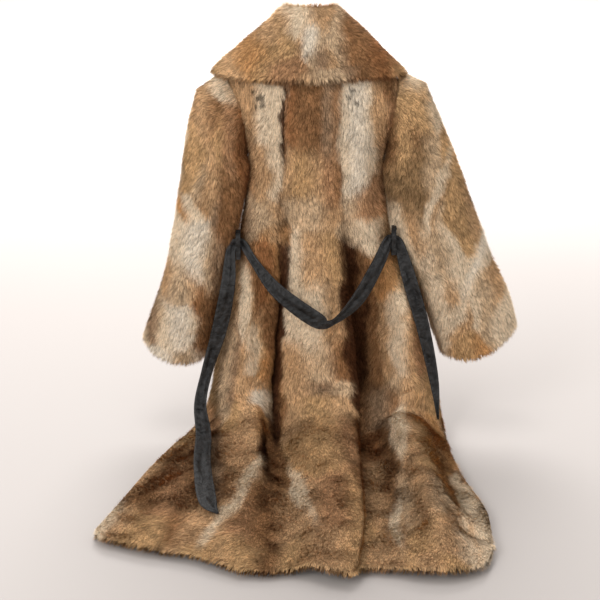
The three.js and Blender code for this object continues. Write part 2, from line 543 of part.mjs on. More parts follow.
function sleeveLining(front, rings) {
  const middle = sleeveMiddle(front, rings);
  const [before, end] = middle.slice(-2);
  const past = end.map((p, c) => {
    const onward = p.clone().sub(before[c]).normalize();
    return p.clone().addScaledVector(onward, LINING.shows);
  });
  const side = (by) => ringOffset([...middle, past], by).slice(-2 - LINING.rings * SLEEVE_ROWS);
  const outer = -FUR_WALL / 2 - GAP;
  return shell({ outer: side(outer), inner: side(outer - LINING_WALL) }, true);
}

function collar() {
  const rows = COLLAR_RINGS.length - 1;
  const fallRow = COLLAR_RINGS.findIndex((ring) => ring.name === "fall");
  const middle = grid(rows, COLLAR.columns, (r, c) => {
    const ring = COLLAR_RINGS[r];
    const angle = THREE.MathUtils.degToRad(lerp(-COLLAR.end, COLLAR.end, c / COLLAR.columns));
    const wide = angle < 0 ? ring.left : ring.right;
    const deep = Math.cos(angle) > 0 ? ring.back : ring.front;
    const drop = Math.cos(angle) > 0 ? 0 : NECKLINE.drop * smooth(1 - Math.abs(Math.sin(angle)));
    const dip = r < fallRow ? 0 : (COLLAR.dip * r * Math.max(Math.cos(angle), 0)) / rows;
    return new THREE.Vector3(wide * Math.sin(angle), -deep * Math.cos(angle), ring.z - drop - dip);
  });
  const out = middle.map((row, r) =>
    row.map((_, c) => {
      const across = row[Math.min(c + 1, COLLAR.columns)].clone().sub(row[Math.max(c - 1, 0)]);
      const along = middle[Math.min(r + 1, rows)][c].clone().sub(middle[Math.max(r - 1, 0)][c]);
      return along.cross(across).normalize();
    }),
  );
  const side = (by) =>
    middle.map((row, r) =>
      row.map((p, c) => {
        const q = p.clone().addScaledVector(out[r][c], by);
        if (r === 0) q.z = p.z;
        return q;
      }),
    );
  const fall = shell({ outer: side(COLLAR_WALL / 2), inner: side(-COLLAR_WALL / 2) });
  return trimmed(fall, bodiceSolids);
}

// A flat strip swept along its centreline
function belt() {
  const steps = (BELT.length - 1) * BELT_STEPS;
  const value = (name, at) => curve(BELT.map((row) => row[name]), at);
  const point = (at) => new THREE.Vector3(value("x", at), value("y", at), value("z", at));
  const rows = Array.from({ length: steps + 1 }, (_, i) => {
    const at = i / BELT_STEPS;
    const middle = point(at);
    const ahead = point(Math.min(at + SLOPE_STEP, BELT.length - 1));
    const along = ahead.sub(point(Math.max(at - SLOPE_STEP, 0))).normalize();
    const turn = THREE.MathUtils.degToRad(value("turn", at));
    const facing = new THREE.Vector3(0, -Math.cos(turn), Math.sin(turn));
    const face = facing.addScaledVector(along, -facing.dot(along)).normalize();
    const edge = face.clone().cross(along).multiplyScalar(value("wide", at) / 2);
    return { middle, edge, skin: face.multiplyScalar(LEATHER / 2) };
  });
  const side = (sign) =>
    rows.map(({ middle, edge, skin }) =>
      [-1, 1].map((end) => middle.clone().addScaledVector(edge, end).addScaledVector(skin, sign)),
    );
  return shell({ outer: side(1), inner: side(-1) });
}
function box(wide, deep, tall, [x, y, z]) {
  return wasm.Manifold.cube([wide, deep, tall], true).translate([x, y, z]);
}
function beltLoop({ x, foot, z }) {
  const y = -foot - LOOP.stand / 2;
  const hole = box(2 * LOOP.wide, LOOP.stand - 2 * LOOP.thick, LOOP.tall - 2 * LOOP.thick, [x, y, z]);
  return box(LOOP.wide, LOOP.stand, LOOP.tall, [x, y, z]).subtract(hole);
}

// The hanger's top follows the inside of the shoulder seams.
function hanger() {
  const seam = (line) => SHOULDER_SEAM.map((k) => {
    const { name, down } = BODICE_SECTIONS[k];
    const x = BODICE_X[line][name];
    return [x - Math.sign(x) * HANGER.inwards, -down - HANGER.below];
  });
  const top = [...seam("left_seam").reverse(), ...seam("right_seam")];
  const under = top.map(([x, z]) => [x, z - HANGER.tall]).reverse();
  const sharp = new wasm.CrossSection([[...top, ...under]], "NonZero");
  const outline = sharp.offset(-HANGER.round, "Round").offset(HANGER.round, "Round");
  return trimmed(outline.extrude(HANGER.thick, 0, 0, [1, 1], true).rotate([90, 0, 0]), bodiceSolids);
}
// The hook's wire, from its open end over the rail and down to the hanger's top
function hook(foot) {
  const radius = HOOK.inner + HOOK.wire;
  const bend = Array.from({ length: HOOK.steps + 1 }, (_, i) => {
    const angle = THREE.MathUtils.degToRad(lerp(HOOK.from, HOOK.to, i / HOOK.steps));
    return new THREE.Vector3(radius * Math.cos(angle), 0, radius * Math.sin(angle) - HOOK.inner);
  });
  const path = [...bend, new THREE.Vector3(0, 0, HOOK.straight), new THREE.Vector3(0, 0, foot)];
  const last = path.length - 1;
  const points = path.flatMap((p, i) => {
    const along = path[Math.min(i + 1, last)].clone().sub(path[Math.max(i - 1, 0)]).normalize();
    const across = along.clone().cross(new THREE.Vector3(0, 1, 0));
    return Array.from({ length: HOOK.sides }, (_, k) => {
      const angle = (2 * Math.PI * k) / HOOK.sides;
      const q = p.clone().addScaledVector(across, HOOK.wire * Math.cos(angle));
      return q.add(new THREE.Vector3(0, HOOK.wire * Math.sin(angle), 0));
    });
  });
  const at = (i, k) => i * HOOK.sides + (k % HOOK.sides);
  const faces = [];
  for (let k = 0; k < HOOK.sides; k++) {
    for (let i = 0; i < last; i++) {
      faces.push(at(i, k), at(i, k + 1), at(i + 1, k + 1), at(i, k), at(i + 1, k + 1), at(i + 1, k));
    }
    if (k > 0 && k < HOOK.sides - 1) {
      faces.push(at(0, k + 1), at(0, k), at(0, 0), at(last, 0), at(last, k), at(last, k + 1));
    }
  }
  return solid(points, faces);
}

const made = {
  collar: [collarSolid, FUR],
  back_bodice: [bodiceSolids[0], FUR],
  back_skirt_left: [shell(backWall(SKIRT, "left_seam", "left_valley", SKIRT_ROWS)), FUR],
  back_skirt_centre: [shell(backWall(SKIRT, "left_valley", "right_valley", SKIRT_ROWS)), FUR],
  back_skirt_right: [shell(backWall(SKIRT, "right_valley", "right_seam", SKIRT_ROWS)), FUR],
  front_bodice_left: [bodiceSolids[1], FUR],
  front_bodice_right: [bodiceSolids[2], FUR],
  front_skirt_left: [shell(frontWall("left", SKIRT, SKIRT_ROWS)), FUR],
  front_skirt_right: [shell(frontWall("right", SKIRT, SKIRT_ROWS)), FUR],
  sleeve_left: [sleeve("left", LEFT_SLEEVE), FUR],
  sleeve_right: [sleeve("right", RIGHT_SLEEVE), FUR],
  sleeve_lining_left: [sleeveLining("left", LEFT_SLEEVE), SATIN],
  sleeve_lining_right: [sleeveLining("right", RIGHT_SLEEVE), SATIN],
  belt: [belt(), HIDE],
  belt_loop_left: [beltLoop(LOOPS.left), HIDE],
  belt_loop_right: [beltLoop(LOOPS.right), HIDE],
  hanger: [hanger(), WOOD],
  hanger_hook: [hook(-BODICE_SECTIONS[0].down - HANGER.below + GAP), WIRE],
};
const group = new THREE.Group();
for (const [name, [piece, material]] of Object.entries(made)) {
  const node = new THREE.Mesh(geometryOf(piece), new THREE.MeshStandardMaterial(material));
  node.name = name;
  group.add(node);
}
export default group;
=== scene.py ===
# A full-length fur coat hung on a plain hanger, its back towards the viewer and its skirt on the floor.
# The garment's surfaces repeat the model's own tables and curves, in millimetres, and are dressed with fur.
import json
import math

import bpy
import numpy as np
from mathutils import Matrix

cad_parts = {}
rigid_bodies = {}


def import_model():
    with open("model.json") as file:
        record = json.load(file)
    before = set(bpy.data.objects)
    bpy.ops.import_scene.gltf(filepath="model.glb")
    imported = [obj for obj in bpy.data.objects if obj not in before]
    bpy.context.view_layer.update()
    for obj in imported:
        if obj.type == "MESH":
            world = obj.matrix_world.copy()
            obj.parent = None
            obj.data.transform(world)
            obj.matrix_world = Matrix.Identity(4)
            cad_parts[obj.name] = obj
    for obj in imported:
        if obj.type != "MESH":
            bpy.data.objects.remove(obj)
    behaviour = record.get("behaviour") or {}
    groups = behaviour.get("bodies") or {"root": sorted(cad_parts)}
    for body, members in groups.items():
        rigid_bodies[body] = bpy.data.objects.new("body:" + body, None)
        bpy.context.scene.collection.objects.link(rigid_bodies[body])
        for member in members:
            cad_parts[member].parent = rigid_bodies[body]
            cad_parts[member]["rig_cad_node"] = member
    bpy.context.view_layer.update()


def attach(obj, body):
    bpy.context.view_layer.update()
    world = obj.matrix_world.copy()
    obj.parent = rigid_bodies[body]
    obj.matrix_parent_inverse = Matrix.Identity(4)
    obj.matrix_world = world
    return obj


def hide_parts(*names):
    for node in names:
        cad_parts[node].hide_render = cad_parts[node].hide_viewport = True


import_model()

MM = 0.001

# Sizes of the model, in millimetres
FLOOR_Z = -950
TURN_RADIUS = 150
FUR_WALL = 10
TURN_START = -FLOOR_Z - TURN_RADIUS
TURN_LENGTH = math.pi / 2 * TURN_RADIUS
FLOOR_START = TURN_START + TURN_LENGTH
GAP = 0.3
SLOPE_STEP = 0.15
VALLEY_LIFT = 1.5

# The skin and the grids that carry it, in millimetres
SKIN_OUT = 2.2  # the skin's outer face, out of the wall's middle
SKIN_IN = -4.4
COLLAR_THICKER = 1  # on each face
GRID = 10.0  # spacing of a shell's vertices
FOLDED = 1.25  # columns for a folded sheet, as a share of what a plain one would need
LEAST_COLUMNS = 8
FRONT_GRID = (9, 34)  # columns of the turn, and of the rest
SLEEVE_GRID = (72, 92)  # columns and rows
COLLAR_GRID = (110, 40)
UNDERWOOL = 0.5  # the skin's colour as a share of its hairs'
PAINTED_SHADE_REACH = 5  # grid columns either side that set the painted shade of a deep fold
# Painted shade and light of the folds: millimetres of depth below the places beside it for a full step of
# darkening, and the least and most share of the colour
PAINTED_FOLD_SHADING = dict(depth=38, least=0.4, most=1.06)

# The hairs, in millimetres
HAIR_WIDE = 1.35
HAIR_LONG = 17.0
HAIR_RISE = 0.4  # share of a hair's direction that stands off the skin
RISE_LIMITS = (0.18, 0.8)
RISE_OUT = 0.75  # reach of a hair that stands, for one that lies
ROOT_DEPTH = 0.8  # below the skin's outer face
FLOOR_CLEAR = 0.3
HAIRS = 38  # for each square centimetre
MOST_HAIRS = 180000
TUFT = 9.0  # size of the tufts that hairs lean together in
TUFT_PULL = 0.36
TUFT_ROUND = 0.55  # how far a tuft is lit as a rounded lock
TUFT_TONE = 0.42  # difference in tone from tuft to tuft
RIM_HAIRS = 5  # for each millimetre of a free edge
RIM_DEPTH = 0.9  # share of the skin's thickness that they grow from
RIM_FAN = (0.9, -2.2)  # their lean out of the skin, at its outer face and added towards its inner one
RIM_NAP = 0.2
ROOT_TONE = 0.66
TIP_TONE = 1.27
LIGHT_TICK = (0.8, 1.65)  # the draw that a light tip starts at, and its tone
DARK_TICK = (0.24, 0.42)
BRIGHTEST = 0.95
PELT_EDGE = 3.2  # how sharply one pelt's colour ends at the next
PELT_FAR = 40  # no pelt counts as further off than this
FLANK = (1.15, -0.1)  # slope and start of a pelt's change from its back to its flanks
FLECK_TONE = 0.3
HAIR_ALOFT = 30  # height over the floor at which hair grows on every side of a front
HAIR_UNDER = -0.6  # how far down a front may face on the floor and still grow hair

# Noise of the fur. columns: amount, size, salt
SWIRL_NOISE = ((0.5, 55, 11), (0.35, 21, 12))
RISE_NOISE = ((0.35, 30, 13),)
LENGTH_NOISE = ((0.18, 24, 14),)
TICK_NOISE = ((0.25, 12, 15),)
PELT_ACROSS_NOISE = ((9, 42, 3), (4, 15, 4))
PELT_DOWN_NOISE = ((14, 48, 5), (6, 17, 6))
PELT_SHADE_NOISE = ((0.12, 70, 7),)
# Spread of the random draws, hair by hair
SPREAD = dict(swirl=0.13, rise=0.16, length=0.14, pelt=0.1, tone=0.1, normal=0.22)
SEED = 31
TUFT_SALTS = (21, 22, 23, 31)  # three for its place and one for its mark
HASH_STEPS = (73856093, 19349663, 83492791)
HASH_SALT = 2654435761
HASH_MIX = ((13, 1274126177, 0), (16, 69069, 12345))  # shift, factor, addition
HASH_MASK = 0x7FFFFFFF

BODICE_SECTIONS = dict(neck=88, slope=130, shoulder=178, chest=250, underarm=340, ribs=425, waist=None)
SKIRT_SECTIONS = dict(waist=None, hip=650, knee=780, ankle=900, bend=975)
FLOOR_SHARES = dict(rear=0.05, mid=0.38, low=0.72, hem=1.0)

# One row for each fold line of the back: height of the waist seam, and reach of the hem past the turn
FOLD_LINES = {
    "left_seam": (528, 362),
    "left_turn": (530, 395),
    "left_crest": (532, 447),
    "left_lip": (512, 490),
    "left_valley": (498, 486),
    "centre_left": (484, 493),
    "centre_crest": (481, 514),
    "centre_right": (484, 520),
    "right_valley": (500, 480),
    "right_foot": (512, 483),
    "right_crest": (520, 500),
    "right_turn": (518, 475),
    "right_seam": (516, 410),
}
LINES = list(FOLD_LINES)
# x of each fold line, from neck to waist
# columns: neck, slope, shoulder, chest, underarm, ribs, waist
BODICE_X = {
    "left_seam": (-48, -112, -160, -132, -118, -123, -140),
    "left_turn": (-47, -109, -155, -130, -118, -123, -141),
    "left_crest": (-36, -80, -108, -98, -90, -96, -114),
    "left_lip": (-22, -42, -56, -56, -57, -63, -78),
    "left_valley": (-18, -36, -48, -47, -50, -56, -62),
    "centre_left": (-13, -30, -38, -37, -41, -46, -46),
    "centre_crest": (0, 4, 6, 8, 7, 5, 6),
    "centre_right": (15, 32, 49, 53, 55, 58, 62),
    "right_valley": (20, 40, 60, 65, 66, 69, 74),
    "right_foot": (25, 49, 72, 79, 79, 82, 92),
    "right_crest": (34, 78, 116, 126, 118, 120, 132),
    "right_turn": (47, 108, 167, 169, 154, 157, 172),
    "right_seam": (48, 112, 172, 172, 154, 157, 171),
}
# Height of each fold line out of the middle surface, from neck to waist
# columns: neck, slope, shoulder, chest, underarm, ribs, waist
BODICE_H = {
    "left_seam": (0.3, 0.3, 0.3, 31, 0.3, 0.3, 0.3),
    "left_turn": (12, 13, 14, 38, 15, 16, 22),
    "left_crest": (24, 35, 46, 57, 54, 53, 58),
    "left_lip": (30, 43, 56, 64, 61, 57, 56),
    "left_valley": (28, 39, 49, 55, 54, 51, 48),
    "centre_left": (30, 42, 54, 60, 59, 56, 56),
    "centre_crest": (31, 44, 55, 62, 61, 59, 60),
    "centre_right": (30, 42, 54, 60, 60, 58, 57),
    "right_valley": (28, 38, 48, 53, 53, 51, 48),
    "right_foot": (27, 38, 49, 55, 55, 53, 51),
    "right_crest": (24, 35, 46, 56, 56, 56, 58),
    "right_turn": (12, 13, 14, 38, 15, 16, 22),
    "right_seam": (0.3, 0.3, 0.3, 31, 0.3, 0.3, 0.3),
}
# x of each fold line, from hip to hem
# columns: hip, knee, ankle, bend, rear, mid, low, hem
SKIRT_X = {
    "left_seam": (-170, -187, -206, -240, -278, -322, -358, -390),
    "left_turn": (-174, -190, -205, -222, -248, -290, -320, -352),
    "left_crest": (-132, -142, -146, -126, -116, -122, -142, -200),
    "left_lip": (-76, -88, -96, -92, -88, -80, -78, -110),
    "left_valley": (-60, -70, -77, -70, -58, -44, -24, -34),
    "centre_left": (-40, -42, -44, -36, -24, -6, 12, 0),
    "centre_crest": (20, 27, 32, 34, 36, 42, 50, 40),
    "centre_right": (78, 92, 102, 100, 98, 98, 96, 74),
    "right_valley": (82, 95, 103, 102, 101, 102, 100, 88),
    "right_foot": (126, 134, 141, 142, 146, 158, 168, 140),
    "right_crest": (192, 208, 213, 200, 206, 222, 228, 225),
    "right_turn": (222, 256, 276, 280, 280, 276, 286, 300),
    "right_seam": (218, 250, 272, 284, 292, 306, 334, 330),
}
# Height of each fold line, from hip to hem
# columns: hip, knee, ankle, bend, rear, mid, low, hem
SKIRT_H = {
    "left_seam": (0.3, 0.3, 6, 12, 15.5, 15.5, 15.5, 15.5),
    "left_turn": (42, 45, 40, 30, 22, 19, 19, 17),
    "left_crest": (78, 90, 92, 78, 62, 44, 34, 20),
    "left_lip": (60, 68, 64, 48, 36, 26, 20, 17),
    "left_valley": (30, 24, 20, 17, 17, 16.5, 16.5, 16),
    "centre_left": (62, 70, 74, 62, 50, 38, 34, 30),
    "centre_crest": (76, 90, 94, 84, 72, 54, 44, 34),
    "centre_right": (66, 80, 86, 76, 64, 46, 38, 29),
    "right_valley": (28, 22, 20, 17, 17, 16.5, 16.5, 16),
    "right_foot": (30, 24, 24, 20, 18, 16.5, 16.5, 16),
    "right_crest": (84, 94, 96, 68, 72, 60, 48, 26),
    "right_turn": (46, 50, 48, 36, 30, 22, 22, 18),
    "right_seam": (0.3, 0.3, 6, 12, 15.5, 15.5, 15.5, 15.5),
}
# columns: inner_x, inner_z, outer_x, outer_z, deep, y
LEFT_SLEEVE = {
    "head": (126, -350, 222, -218, 42, -8),
    "biceps": (128, -374, 244, -300, 48, -14),
    "upper": (138, -418, 260, -402, 52, -20),
    "elbow": (155, -498, 279, -508, 52, -26),
    "forearm": (177, -590, 303, -612, 52, -32),
    "wrist": (198, -690, 334, -694, 54, -36),
    "cuff": (214, -768, 349, -738, 56, -38),
}
# columns: inner_x, inner_z, outer_x, outer_z, deep, y
RIGHT_SLEEVE = {
    "head": (162, -350, 236, -206, 42, -8),
    "biceps": (165, -374, 266, -272, 50, -14),
    "upper": (172, -426, 302, -356, 54, -20),
    "elbow": (190, -514, 342, -458, 54, -26),
    "forearm": (226, -602, 386, -566, 54, -32),
    "wrist": (260, -692, 424, -646, 56, -36),
    "cuff": (288, -768, 443, -706, 57, -38),
}
# columns: left, right, back, front, z
COLLAR_RINGS = {
    "seam": (46, 46, 29, 26, -87.4),
    "stand": (43, 45, 28, 27, -70),
    "inside": (42, 47, 31, 30, -60),
    "roll": (47, 55, 37, 36, -53.5),
    "outside": (56, 67, 46, 45, -61),
    "fall": (84, 96, 57, 58, -87),
    "shoulder": (119, 128, 66, 69, -116),
    "cape": (155, 160, 71, 75, -147),
    "edge": (188, 191, 75, 79, -175),
}
# columns: x, y, z, wide, turn
BELT = {
    "left_tip": (-166, -500, -908, 4, 90),
    "left_point": (-188, -462, -902, 34, 90),
    "left_flat": (-207, -340, -892, 34, 90),
    "left_floor": (-214, -220, -884, 32, 84),
    "left_twist": (-226, -140, -856, 26, 40),
    "left_low": (-214, -106, -800, 24, -30),
    "left_hang": (-184, -98, -700, 32, 0),
    "left_high": (-165, -97, -606, 30, 0),
    "left_drop": (-159, -62, -538, 20, 0),
    "left_loop": (-146, -56.5, -527, 20, 0),
    "slack_start": (-134, -61, -528, 18, 0),
    "slack_left": (-110, -88, -558, 18, 44),
    "slack_fall": (-62, -106, -616, 30, 26),
    "slack_low": (18, -114, -676, 34, 8),
    "slack_twist": (52, -112, -682, 14, -14),
    "slack_rise": (102, -110, -634, 30, -22),
    "slack_right": (144, -92, -562, 28, -16),
    "slack_end": (166, -63, -522, 22, 0),
    "right_loop": (178, -59, -519, 20, 0),
    "right_drop": (190, -64, -530, 22, 0),
    "right_high": (212, -84, -600, 30, 0),
    "right_hang": (242, -94, -700, 28, 10),
    "right_low": (268, -108, -815, 20, 40),
    "right_tip": (277, -136, -893, 4, 50),
}
FRONT_DEPTH = (26, 34, 42, 47, 47, 45, 44)
FRONT_SEAM = (0.3, 0.3, 0.3, 31, 0.3, 0.3, 0.3)
FRONT_SKIRT_DEPTH = (44, 42, 40, 34, 14, 0, 0, 0, 0)
FRONT_SKIRT_SEAM = (0.3, 0.3, 0.3, 0, 0, 0, 0, 0, 0)
FRONT_EDGE = {"left": 66, "right": 22}
FRONT_WAIST = 500
FRONT_REACH = 430
FRONT_TURN = 38
FRONT_COLUMNS = (3, 5, 2, 2)  # turn, panel, step, lap
FRONT_RAMP = (0.3, 0.15)  # the right front's step, as shares of its width
OVERLAP_STEP = 15
OVERLAP_RAMP = 34
FLUTE = dict(height=6, length=76, clear=40, fade=30)
NECKLINE = dict(half=46, drop=64, slant=0.6, sections=3)
ARMHOLE_STAND = 5.4
ARMHOLE_SECTIONS = (2, 4)
# The inner side of a sleeve lies this much nearer the body, from one ring to another
SLEEVE_CLOSER = dict(by=8, start=0.2, end=4.5)
CUFF_DIP = 20
# Soft folds round a sleeve. columns: ring, turn, lean, depth
SLEEVE_FOLDS = ((1.6, 0.55, 0.35, 4), (2.5, 0.4, -0.3, 5), (3.3, 0.62, 0.25, 4), (4.6, 0.45, 0.3, 4))
SLEEVE_FOLD_WIDE = 0.16
COLLAR = dict(end=158, dip=9, dip_from=4)
COLLAR_WAVE = dict(height=1.5, turns=3.1, shift=0.6, start=4.5, fade=3)

# The belt, in millimetres
LEATHER = 2.4
BELT_STEPS = 16  # for each row of its table
BELT_ACROSS = (-1, -0.96, -0.84, -0.62, -0.4, -0.2, 0, 0.2, 0.4, 0.62, 0.84, 0.96, 1)
BELT_ROUND = dict(start=0.8, thinner=0.75)
BELT_FOLD = dict(height=3.2, length=47, shift=0.8, sway=0.3, sway_length=70, wide=0.26)
# columns: height, length, sway, its length, waves across, length of their drift
BELT_WRINKLES = ((0.7, 5.3, 2, 41, 2.4, 23), (1.5, 29, 3, 88, 5.1, -52))
STITCH = dict(pitch=3.6, inset=2.6, margin=8, narrowest=14, proud=0.25, sway=0.35, sway_length=4.3)
# columns: along, across, up
STITCH_POINTS = (
    (-1.1, -0.3, 0),
    (-1.1, 0.3, 0),
    (1.1, 0.3, 0),
    (1.1, -0.3, 0),
    (-0.7, 0, 0.35),
    (0.7, 0, 0.35),
)
STITCH_FACES = ((0, 4, 5, 3), (1, 2, 5, 4), (0, 1, 4), (2, 3, 5))

# Soft creases of the hang, over the fold lines. Places are (x, down the garment), height is out of the skin.
# columns: x, down, to x, to down, wide, height
CREASES = [
    (-118, 470, -96, 540, 9, -4),
    (-92, 505, -60, 520, 8, -4),
    (88, 470, 126, 540, 9, -4),
    (128, 430, 150, 530, 8, -4),
    (-70, 330, -96, 430, 10, -3),
    (30, 300, 18, 450, 12, -3),
    (96, 250, 118, 330, 10, 4),
    (-112, 600, -128, 760, 10, 4),
    (-96, 640, -120, 860, 9, -5),
    (-6, 560, -14, 760, 10, -4),
    (52, 590, 62, 860, 11, -5),
    (20, 880, 64, 915, 14, -6),
    (168, 600, 176, 820, 10, -5),
    (206, 640, 232, 860, 11, 4),
    (216, 900, 176, 985, 13, -9),
    (240, 960, 262, 1060, 13, -6),
    (-150, 930, -222, 985, 15, -7),
    (-170, 1000, -262, 1130, 14, -5),
    (-200, 1190, -322, 1290, 14, 4),
    (-60, 1100, -40, 1360, 12, -4),
    (22, 1120, 26, 1400, 11, -4),
    (66, 1060, 72, 1260, 10, 4),
    (196, 1150, 206, 1420, 12, -4),
    (250, 1250, 290, 1400, 14, 5),
    (276, 1390, 322, 1440, 12, -6),
    (-236, 1380, -270, 1480, 14, -4),
    (-90, 1420, -60, 1500, 12, 4),
    (150, 1400, 170, 1500, 12, 4),
]
CREASE = dict(bend=5, turns=5, fade=30, from_height=10, grows_over=12)

# Colours of the pelts, linear
COLOURS = dict(
    brown=(0.300, 0.150, 0.066),
    tan=(0.560, 0.345, 0.180),
    grey_brown=(0.350, 0.220, 0.128),
    ash=(0.600, 0.425, 0.262),
    cream=(0.920, 0.735, 0.520),
    white=(0.950, 0.820, 0.650),
    # dark is painted shadow, used only for the pelts laid along the deepest folds
    dark=(0.068, 0.026, 0.011),
    red_brown=(0.330, 0.145, 0.058),
    rose=(0.440, 0.240, 0.120),
    orange=(0.530, 0.280, 0.115),
    golden=(0.560, 0.345, 0.165),
    olive=(0.280, 0.170, 0.082),
)
# The pelts. Places are (x, down the garment) of each one's middle, wide and long its half sizes,
# lean its x for each step down. Its colours run from its left flank over its back to its right flank.
# columns: x, down, wide, long, lean, colours
BODY_PELTS = [
    (-75, 140, 50, 42, 0, "tan cream tan"),
    (-84, 235, 34, 88, 0, "tan cream cream"),
    (-90, 365, 34, 60, 0, "brown tan cream"),
    (-96, 465, 40, 46, 0.1, "grey_brown ash tan"),
    (-134, 470, 14, 80, 0, "brown brown grey_brown"),
    (-70, 510, 26, 20, 0, "orange tan orange"),
    (0, 130, 50, 36, 0, "tan red_brown brown"),
    (-10, 240, 38, 84, 0, "red_brown brown brown"),
    (42, 255, 24, 92, 0, "brown grey_brown brown"),
    # Painted shadow: a narrow dark pelt along the deep crease beside the centre panel
    (-49, 250, 5, 96, 0, "dark dark red_brown"),
    (-10, 378, 40, 60, 0, "tan golden tan"),
    (42, 388, 24, 62, 0, "tan rose brown"),
    (6, 460, 54, 36, 0, "ash ash tan"),
    (80, 140, 46, 40, 0, "tan cream tan"),
    (100, 300, 34, 118, 0.02, "cream white cream"),
    (146, 265, 22, 84, 0, "tan tan rose"),
    (164, 190, 30, 40, 0, "brown brown tan"),
    (122, 430, 40, 40, 0, "ash rose rose"),
    (122, 490, 42, 28, 0, "ash cream tan"),
    (10, 560, 48, 62, 0, "cream tan golden"),
    (10, 672, 46, 84, 0.05, "cream cream tan"),
    (20, 788, 50, 66, 0.05, "tan ash brown"),
    (27, 885, 56, 50, 0.05, "tan grey_brown ash"),
    (20, 1000, 58, 78, 0, "tan golden tan"),
    (30, 1150, 60, 80, 0, "golden golden rose"),
    (44, 1350, 58, 96, 0, "tan rose golden"),
    (30, 1480, 70, 50, 0, "golden tan golden"),
    (-10, 1300, 14, 105, 0.18, "cream cream tan"),
    # Painted shadow: dark pelts down the skirt's left valley, where the fold's shade falls
    (-60, 700, 14, 230, -0.03, "dark dark dark"),
    (-64, 960, 18, 110, 0, "dark dark brown"),
    (-72, 1150, 24, 90, 0.1, "dark brown brown"),
    (-85, 1370, 55, 110, 0, "rose brown tan"),
    (-92, 590, 28, 72, -0.05, "brown red_brown orange"),
    (-86, 700, 24, 80, 0, "tan brown brown"),
    (-130, 655, 13, 62, -0.05, "cream cream tan"),
    (-165, 630, 20, 84, 0, "brown brown tan"),
    (-117, 765, 22, 60, 0, "tan cream golden"),
    (-95, 820, 18, 52, 0, "golden orange orange"),
    (-118, 865, 30, 50, 0, "tan tan tan"),
    (-168, 800, 24, 130, -0.05, "olive ash grey_brown"),
    (-106, 930, 28, 40, 0, "tan white ash"),
    (-122, 1030, 34, 60, 0, "golden tan orange"),
    (-142, 1150, 30, 72, -0.1, "tan tan tan"),
    (-250, 1010, 44, 64, -0.2, "tan golden rose"),
    (-305, 1150, 34, 90, -0.35, "cream tan brown"),
    (-262, 1270, 58, 95, 0, "brown rose brown"),
    (-190, 1200, 36, 80, 0, "brown grey_brown brown"),
    (-283, 1405, 50, 52, 0, "golden golden brown"),
    (-352, 1390, 34, 62, -0.3, "cream tan golden"),
    (-142, 1330, 20, 140, -0.33, "tan cream tan"),
    (-208, 1400, 36, 60, 0, "brown tan tan"),
    (-190, 1490, 60, 40, 0, "tan golden tan"),
    (-110, 1485, 45, 42, 0, "golden golden brown"),
    # Painted shadow: dark pelts down the skirt's right valley, where the fold's shade falls
    (92, 600, 22, 100, 0.02, "dark dark brown"),
    (108, 765, 26, 120, 0.05, "dark dark dark"),
    (112, 905, 22, 70, 0, "dark dark brown"),
    (172, 595, 20, 42, 0.1, "orange orange golden"),
    (192, 720, 24, 104, 0.06, "tan cream tan"),
    (150, 775, 24, 92, 0.05, "brown brown tan"),
    (232, 740, 22, 100, 0.1, "tan rose brown"),
    (262, 860, 26, 82, 0.05, "tan golden orange"),
    (160, 930, 42, 62, 0, "brown grey_brown brown"),
    (214, 880, 26, 62, 0.1, "ash tan golden"),
    (200, 1050, 20, 90, -0.05, "cream cream tan"),
    (135, 1085, 34, 52, 0, "brown red_brown brown"),
    (132, 1230, 36, 112, 0, "brown tan brown"),
    (240, 1170, 36, 92, 0, "tan golden orange"),
    (212, 1315, 38, 80, 0, "ash tan ash"),
    (168, 1395, 12, 88, 0, "cream cream tan"),
    (286, 1290, 14, 98, 0, "tan cream cream"),
    (276, 1080, 26, 84, 0.15, "rose orange tan"),
    (245, 1452, 50, 50, 0, "golden tan cream"),
    (312, 1430, 26, 60, 0, "tan cream olive"),
    (150, 1490, 46, 46, 0, "tan tan golden"),
    (208, 1525, 50, 30, 0, "golden tan golden"),
]
LEFT_SLEEVE_PELTS = [
    (-170, 197, 38, 36, 0, "tan cream tan"),
    (-208, 267, 34, 50, 0, "golden tan brown"),
    (-160, 320, 26, 62, 0, "golden rose red_brown"),
    (-235, 335, 26, 62, -0.2, "cream golden golden"),
    (-198, 390, 30, 50, -0.1, "ash tan brown"),
    (-236, 442, 24, 28, 0.2, "orange cream orange"),
    (-174, 455, 24, 62, -0.1, "grey_brown brown brown"),
    (-232, 530, 40, 62, -0.1, "cream white ash"),
    (-190, 565, 22, 70, -0.1, "ash grey_brown brown"),
    (-264, 605, 34, 46, -0.1, "tan ash tan"),
    (-218, 655, 28, 46, 0, "red_brown brown brown"),
    (-268, 702, 36, 62, 0, "cream white cream"),
    (-325, 665, 24, 52, 0, "cream grey_brown ash"),
    (-262, 775, 50, 30, 0, "white ash white"),
    (-222, 740, 22, 50, 0, "brown brown brown"),
]
RIGHT_SLEEVE_PELTS = [
    (217, 178, 36, 36, 0, "tan cream tan"),
    (222, 244, 40, 50, 0.1, "golden golden cream"),
    (195, 305, 30, 60, 0, "brown golden brown"),
    (224, 388, 36, 88, 0.15, "olive olive ash"),
    (266, 410, 13, 112, -0.28, "cream cream tan"),
    (300, 400, 24, 90, 0.2, "golden golden tan"),
    (327, 490, 22, 52, 0.2, "golden golden tan"),
    (225, 503, 30, 50, 0.3, "cream tan ash"),
    (264, 540, 32, 62, 0.2, "cream ash cream"),
    (350, 555, 20, 62, -0.3, "cream white cream"),
    (272, 634, 32, 60, 0.2, "ash cream tan"),
    (364, 632, 32, 54, 0.2, "cream ash tan"),
    (300, 690, 26, 50, -0.4, "cream cream tan"),
    (328, 737, 36, 34, 0, "tan golden orange"),
    (290, 748, 22, 30, 0, "white cream tan"),
    (402, 690, 34, 46, 0.2, "ash cream cream"),
]
